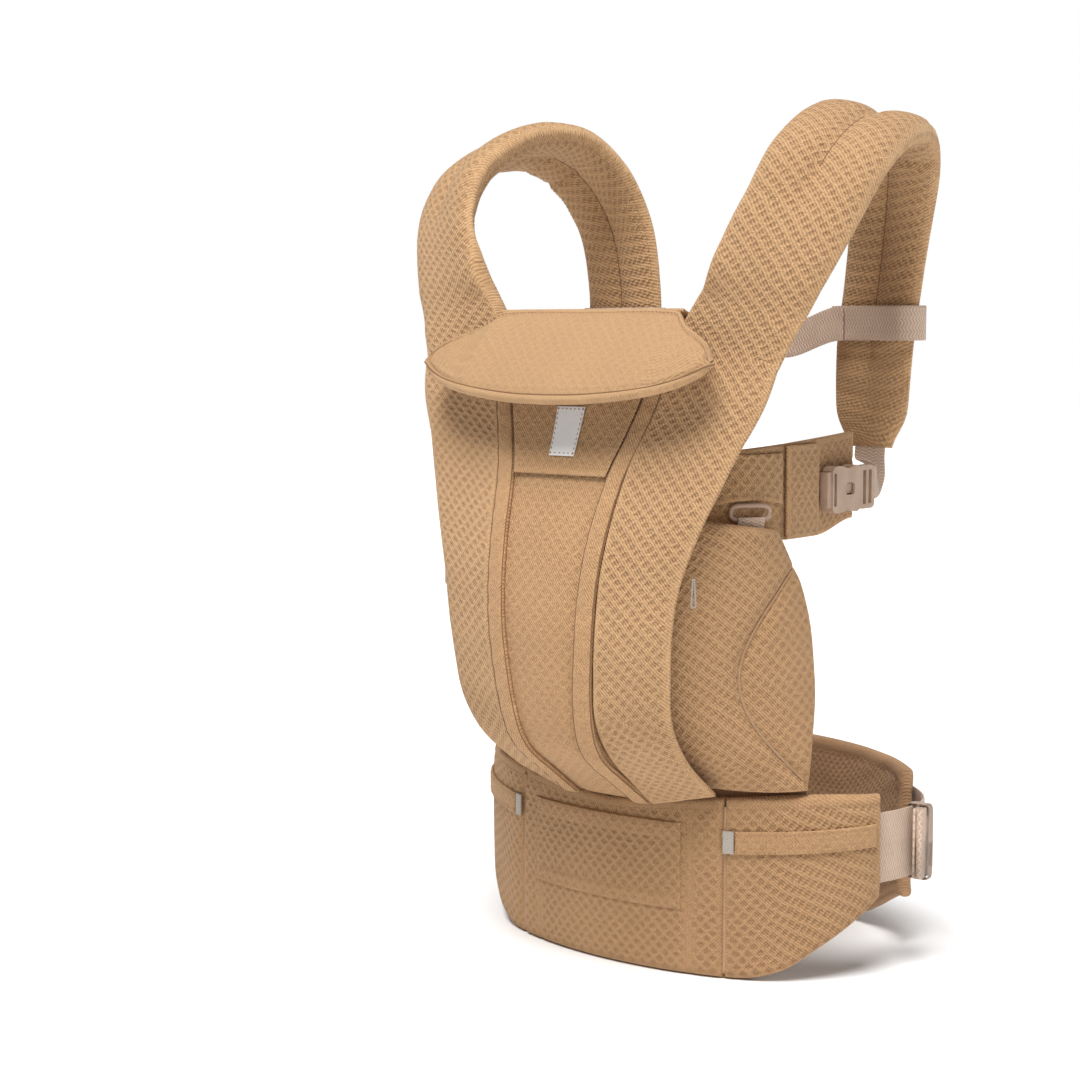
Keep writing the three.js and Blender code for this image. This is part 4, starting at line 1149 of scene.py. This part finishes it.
def add_strap(word, side):
    def front(p):
        waves = 0.25 * np.sin(p.t / 7.0 + 2 * ripple(p.s / 30, p.t / 50, 63)) * bell(p.edge, 8, 7)
        return strap_height(p, 1.0) + 0.5 * p.wander(22, 30, 61 + side) + waves

    def back(p):
        gather = smooth(12.5 * STATION, 15 * STATION, p.v) * smooth(19 * STATION, 17 * STATION, p.v)
        gathers = 0.5 * gather * np.sin(p.t / 4.6) * bell(p.edge, 6, 6)
        return strap_height(p, 0.8) + 0.35 * p.wander(20, 26, 65) + gathers

    quilt = Quilt("strap_pad_" + word, strap_surface, front, back, (76, 830), 3.2, strap_knit,
                  lambda p: fade(2.5, 4.5, p.edge) + 0.5 * smooth(STRAP_END - STATION, STRAP_END, p.v),
                  side, 1.3, 7.0, lambda v: mix(7.0, 1.0, smooth(*LEAVES_PANEL, v)))
    place(quilt.obj, "padded_knit", "shoulder_strap_" + word)

    def held(p):
        crease = bell((p.u - 0.5) * p.wide, 0, 2.5) * smooth(*CREASE, p.v)
        fixed = crease + fade(*LEAVES_PANEL, p.v) + smooth(*UNDER_LOOP, p.v)
        return fixed + fade(1, 3, p.edge) + strap_folds(p) / 1.5

    quilt.settle(3.5, held)
    for end in (0.055, 0.945):
        quilt.stitch(end, (CREASE[0], 0.985, 260), True)
    # Dark tubes sunk in the crease down the middle of the strap: painted shade in the crease.
    for back_face in (False, True):
        name = f"strap_crease_{word}_{'in' if back_face else 'out'}"
        quilt.piping(name, 0.5, (CREASE[1], STRAP_END, 200), 0.55, painted_seam_shadow, -0.25, back_face)
    for level in END_FOLDS:
        quilt.stitch((0.06, 0.94, 40), level * STATION)


# ------------------------------------------------------------------ seat wings and side tabs


def wing_piping(v):
    """Share across the wing of the curved seam that marks off the rear lobe."""
    return 1.02 - 0.53 * arch((v - 0.02) / 0.84) ** 0.75


def wing_surface(u, v):
    rear_z = mix(WING_REAR[0][0], WING_REAR[-1][0], v)
    share = mix(-0.16, 1.0, u)
    z = mix(np.clip(rear_z, 133, 315) + 8 * smooth(285, 315, rear_z), rear_z, np.clip(share, 0, 1))
    front_y = panel_front(z) + panel_setback(z) + 16
    bulge = 9 * np.sin(math.pi * np.clip(share, -0.1, 1))
    x = mix(panel_half(z) - 13, wing_rear_x(z), share) + bulge
    return stack(x, mix(front_y, wing_rear_y(z), share) - bulge / 2, z)


def add_wing(word, side):
    def gap(p):
        return np.abs(p.u - wing_piping(p.v)) * p.wide

    def lobe(p):
        height = 4.2 + 2.4 * smooth(0, 16, gap(p)) - 1.8 * bell(gap(p), 0, 2.0)
        return height + 0.35 * p.wander(17, 25, 71 + side)

    quilt = Quilt("seat_wing_pad_" + word, wing_surface, lobe,
                  lambda p: 4.0 + 0.6 * smooth(0, 14, p.edge) + 0.3 * p.wander(18, 20, 75), (98, 185), 2.4,
                  wing_knit, lambda p: fade(2, 4, p.edge), side, 1.0, 5.0)
    place(quilt.obj, "knit", "seat_wing_" + word)
    quilt.settle(4.0, lambda p: (fade(1, 3, p.edge) + bell(gap(p), 0, 2.5) + fade(0.1, 0.3, p.u)
                                 + smooth(0.85, 0.93, p.v)))
    vs = straight(0.045, 0.84, 120)
    at = wing_piping(vs)
    quilt.piping("wing_piping_" + word, np.clip(at, 0.02, 0.985), vs, 0.95, tape, 0.5)
    quilt.stitch(np.clip(at - 0.035, 0.02, 0.96), vs)
    quilt.stitch((0.1, 0.93, 50), 0.955)


TAB_SKIN = 3.0


def tab_point(u, z, offset=0.0):
    along = unit(stack(tab_x(u + 1e-3) - tab_x(u - 1e-3), tab_y(u + 1e-3) - tab_y(u - 1e-3), 0 * u))
    return stack(tab_x(u) + along[..., 1] * offset, tab_y(u) - along[..., 0] * offset, z)


def tab_low(u):
    drop = smooth(TAB_LOW["step"], TAB_LOW["step"] + 0.06, u)
    return mix(mix(TAB_LOW["front"], TAB_LOW["rear"], drop), TAB_LOW["end"], smooth(0.7, 1, u))


def tab_surface(u, v):
    inside = np.clip(u, 0, 1)
    return tab_point(u, mix(tab_low(inside), tab_top(inside), v))


def cad_corners(name):
    return (np.array(corner) * 1000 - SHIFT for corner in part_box(name))


def add_tab_ring(word, side):
    """Rounded adjuster loop on the tab, with the short webbing that joins it to the wing."""
    low, high = cad_corners("tab_ring_" + word)
    turn, up = math.radians(55), np.array([0, 0, 1.0])
    middle = (low + high) / 2 + 3.0 * up
    along = np.array([side * math.cos(turn), math.sin(turn), 0.0])
    out = np.array([side * math.sin(turn), -math.cos(turn), 0.0])
    angles = np.linspace(0, 2 * math.pi, 49)[:, None]
    path = middle + squared(np.cos(angles), 0.45) * 13.8 * along + squared(np.sin(angles), 0.5) * 4.8 * up
    ring = tube("adjuster_ring_" + word, path, np.tile(out, (49, 1)), 1.7, plastic, 10)
    place(ring, "moulded_plastic", "tab_ring_" + word)

    def loop(u, v):
        run = mix(0, 20, u)
        depth = np.where(run < 6, 1.2 * np.cos(run / 6 * math.pi / 2), -1.3 * smooth(6, 20, run))
        centre = middle + up * np.asarray(-3.0 - run)[..., None] + out * (depth + 1.6)[..., None]
        return centre + along * (mix(-9.5, 9.5, v) * side)[..., None]

    place(strip("ring_webbing_" + word, loop, 20, 19, step=1.6).obj, "webbing")


def add_tab(word, side):
    def face(p):
        height = 3.0 - 0.8 * bell(p.top, 20, 1.5) - 0.6 * bell(p.edge, 4, 1.2)
        return height + 0.3 * p.wander(14, 12, 81)

    quilt = Quilt("side_tab_pad_" + word, tab_surface, face, face, (155, 62), 2.4, wing_knit,
                  lambda p: fade(3, 5, p.edge), side, 0.9, 3.0)
    place(quilt.obj, "knit", "side_tab_" + word)
    quilt.stitch((0.02, 0.98, 80), 0.92)
    quilt.stitch((0.02, 0.45, 40), 0.40)

    def layer(u, v):
        return tab_point(mix(0.02, 0.45, u), mix(331 + 4 * np.sin(3 * u), 366, v), TAB_SKIN + 1.3)

    upper = Quilt("tab_upper_layer_" + word, layer, lambda p: 1.0 + 0.3 * p.wander(9, 11, 85), 0.8,
                  (66, 35), 2.0, wing_knit, lambda p: fade(2, 4, p.t), side, 0.5, 1.6)
    place(upper.obj, "knit")
    upper.stitch((0.02, 0.98, 50), 0.10)
    add_tab_ring(word, side)

    def cover(u, v):
        return tab_point(mix(0.47, 0.68, u), mix(307, 371, v), TAB_SKIN + 2.2)

    flap = Quilt("tab_garage_" + word, cover, lambda p: 1.3 + 0.6 * arch(p.v) + 0.25 * p.wander(10, 14, 83),
                 0.9, (34, 64), 2.0, wing_knit, lambda p: fade(2, 4, p.edge), side, 0.6, 2.0)
    place(flap.obj, "knit", "tab_cover_" + word)
    for end in (0.12, 0.9):
        flap.stitch(end, (0.04, 0.96, 30))


# ------------------------------------------------------------------ straps' webbing and chest strap


def add_strap_stub(word, side):
    """Webbing that leaves the buckle upright and turns flat into the end of the strap."""
    route = [(130, 38.5, 340), (129, 47, 341), (121, 56, 347), (115, 61, 355), (114, 63.5, 366)]
    line = [evenly(column) for column in zip(*route)]

    def surface(u, v):
        turn = math.pi / 2 * smooth(0.15, 0.85, u)
        across = mix(-NARROW / 2, NARROW / 2, v)
        x, y, z = (curve(u) for curve in line)
        return stack(x - across * np.sin(turn), y, z + across * np.cos(turn) * 0.94)

    obj = strip("strap_stub_" + word, surface, 40, NARROW, side, 2.0).obj
    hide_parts("strap_webbing_" + word)
    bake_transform(obj)


CHEST_LOOP = {"x": 115.8, "y": 69.0, "straight": 23.6, "radius": 13.0}
CHEST_LOOP_LENGTH = 4 * CHEST_LOOP["straight"] + 2 * math.pi * CHEST_LOOP["radius"]
CHEST_ENDS = {"right": (12, 0), "left": (32, 4.8)}  # inner end's x, and how far forward it lies


def chest_loop(u, v):
    """Once round the strap: its front, its outer side, its back and its inner side."""
    half, radius = CHEST_LOOP["straight"], CHEST_LOOP["radius"]
    run, bend = (np.asarray(u) % 1.0) * CHEST_LOOP_LENGTH, math.pi * radius
    parts = [run < 2 * half, run < 2 * half + bend, run < 4 * half + bend]
    outer, inner = (run - 2 * half) / radius - math.pi / 2, (run - 4 * half - bend) / radius + math.pi / 2
    x = np.select(parts, [run - half, half + radius * np.cos(outer), half - (run - 2 * half - bend)],
                  radius * np.cos(inner) - half)
    y = np.select(parts, [-radius, radius * np.sin(outer), radius], radius * np.sin(inner))
    return stack(CHEST_LOOP["x"] + x, CHEST_LOOP["y"] + y, CHEST["z"] + mix(-NARROW / 2, NARROW / 2, v))


def add_chest_band(word, side):
    """Webbing sewn into a closed loop, its ends lapped on the outer side."""
    around, across = int(CHEST_LOOP_LENGTH / 3), np.array([0, 0.04, 0.12, 0.5, 0.88, 0.96, 1])
    v, u = np.meshgrid(across, np.arange(around) / around)
    mid, normal = chest_loop(u, v), normal_of(chest_loop, u, v)
    half = WEB_THICK / 2 * np.where((v < 0.02) | (v > 0.98), 0.6, 1.0)
    lap = 0.55 * smooth(0.02, 0.0, np.abs(u - 0.25) - 0.03)
    outer, inner = mid + normal * (half + lap)[..., None], mid - normal * half[..., None]
    cloth = np.stack([v * NARROW, u * CHEST_LOOP_LENGTH], -1)
    sections = np.concatenate([inner, outer[:, ::-1]], 1)
    uvs = np.concatenate([cloth, cloth[:, ::-1]], 1)
    band = swept("chest_band_" + word, sections, uvs, strap_web, side, True)
    place(band, "webbing", "chest_loop_" + word, body="chest_strap")


def add_chest_strap(word, side):
    add_chest_band(word, side)
    end, forward = CHEST_ENDS[word]

    def surface(u, v):
        z = CHEST["z"] - CHEST["sag"] * smooth(0, 0.6, u)
        x = mix(CHEST_LOOP["x"] - 20, end, u)
        return stack(x, CHEST["y"] - forward * smooth(0, 1, u), z + mix(-NARROW / 2, NARROW / 2, v))

    quilt = strip("chest_strip_" + word, surface, 85, NARROW, side, 2.4)
    place(quilt.obj, "webbing", "chest_webbing_" + word, body="chest_strap")
    quilt.stitch(0.03, (0.08, 0.92, 12), body="chest_strap")


# ------------------------------------------------------------------ zip pulls and plastic parts


def add_zip_pull(word, side):
    """A thin looped cord on the zip behind the strap panel's outer edge."""
    low, high = cad_corners("zip_pull_" + word)
    x, y = ((low + high) / 2)[:2]
    turn = np.linspace(-math.pi / 2, math.pi / 2, 9)
    spread = [-0.5, -0.7, *(1.5 * np.sin(turn)), 0.7, 0.5]
    drop = [high[2], high[2] - 5, *(low[2] + 2.2 - 1.5 * np.cos(turn)), high[2] - 5, high[2]]
    path = [(x + w * 0.8 * side, y + w * 0.6, z) for w, z in zip(spread, drop)]
    cord = tube("zip_cord_" + word, path, [(0.6, -0.8, 0)] * len(path), 0.6, elastic)
    place(cord, "elastic_tape", "zip_pull_" + word, body="zip_pull_" + word)


def dress_buckles():
    """Gives the moulded CAD parts softened edges and their own material."""
    for name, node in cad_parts.items():
        if "buckle" not in name:
            continue
        node.data.materials.clear()
        node.data.materials.append(plastic)
        planar = node.modifiers.new("planar", "DECIMATE")
        planar.decimate_type = "DISSOLVE"
        planar.angle_limit = math.radians(2)
        bevel = node.modifiers.new("soft_edges", "BEVEL")
        bevel.width = 0.0011
        bevel.segments = 4
        bevel.limit_method = "ANGLE"
        bevel.angle_limit = math.radians(30)


# ------------------------------------------------------------------ floor and light

FLOOR_REACH, FLOOR_LEVEL = 6.0, -0.0005
AMBIENT = 0.20
SUNS = (  # name, azimuth and elevation in degrees, width in degrees, strength
    ("key", (18, 66), 32, 4.25),
    ("side", (75, 28), 50, 0.22),
    ("back", (200, 40), 60, 0.40),
)


def add_studio():
    mesh = bpy.data.meshes.new("floor")
    reach = FLOOR_REACH
    corners = [(-reach, -reach), (reach, -reach), (reach, reach), (-reach, reach)]
    mesh.from_pydata([(*corner, FLOOR_LEVEL) for corner in corners], [], [(0, 1, 2, 3)])
    floor = bpy.data.objects.new("floor", mesh)
    bpy.context.scene.collection.objects.link(floor)
    pale = Nodes("pale_floor")
    pale.fill(pale.shader, {"Base Color": (0.93, 0.93, 0.93, 1), "Roughness": 0.9, "Specular IOR Level": 0.1})
    mesh.materials.append(pale.material)
    world = bpy.data.worlds.new("studio")
    world.use_nodes = True
    n = Nodes(tree=world.node_tree)
    background = world.node_tree.nodes["Background"]
    background.inputs[0].default_value = (1.0, 1.0, 1.0, 1)
    seen = n.put("ShaderNodeLightPath").outputs["Is Camera Ray"]
    world.node_tree.links.new(n.ramp(seen, 0, 1, AMBIENT, 1.0), background.inputs[1])
    bpy.context.scene.world = world
    for name, (azimuth, elevation), width, power in SUNS:
        data = bpy.data.lights.new(name, "SUN")
        data.angle = math.radians(width)
        data.energy = power
        lamp = bpy.data.objects.new(name, data)
        turn, lift = math.radians(azimuth), math.radians(elevation)
        toward = Vector((math.sin(turn) * math.cos(lift), -math.cos(turn) * math.cos(lift), math.sin(lift)))
        lamp.rotation_euler = toward.to_track_quat("Z", "Y").to_euler()
        bpy.context.scene.collection.objects.link(lamp)
    bpy.context.scene.view_settings.view_transform = "Standard"


# ------------------------------------------------------------------ the whole carrier

add_belt_front()
add_belt_patch()
add_inner_tapes()
add_lumbar_pad()
add_waist_webbing()
add_rolled_end()
add_keeper()
add_panel()
add_lining()
add_flap()
add_label()
for word, side in SIDES:
    add_binding(word, side)
add_head_support()
add_neck()
for word, side in SIDES:
    add_belt_wing(word, side)
    add_strap(word, side)
    add_wing(word, side)
    add_tab(word, side)
    add_strap_stub(word, side)
    add_zip_pull(word, side)
for word, side in SIDES:
    add_chest_strap(word, side)
dress_buckles()
finish_threads()
add_studio()
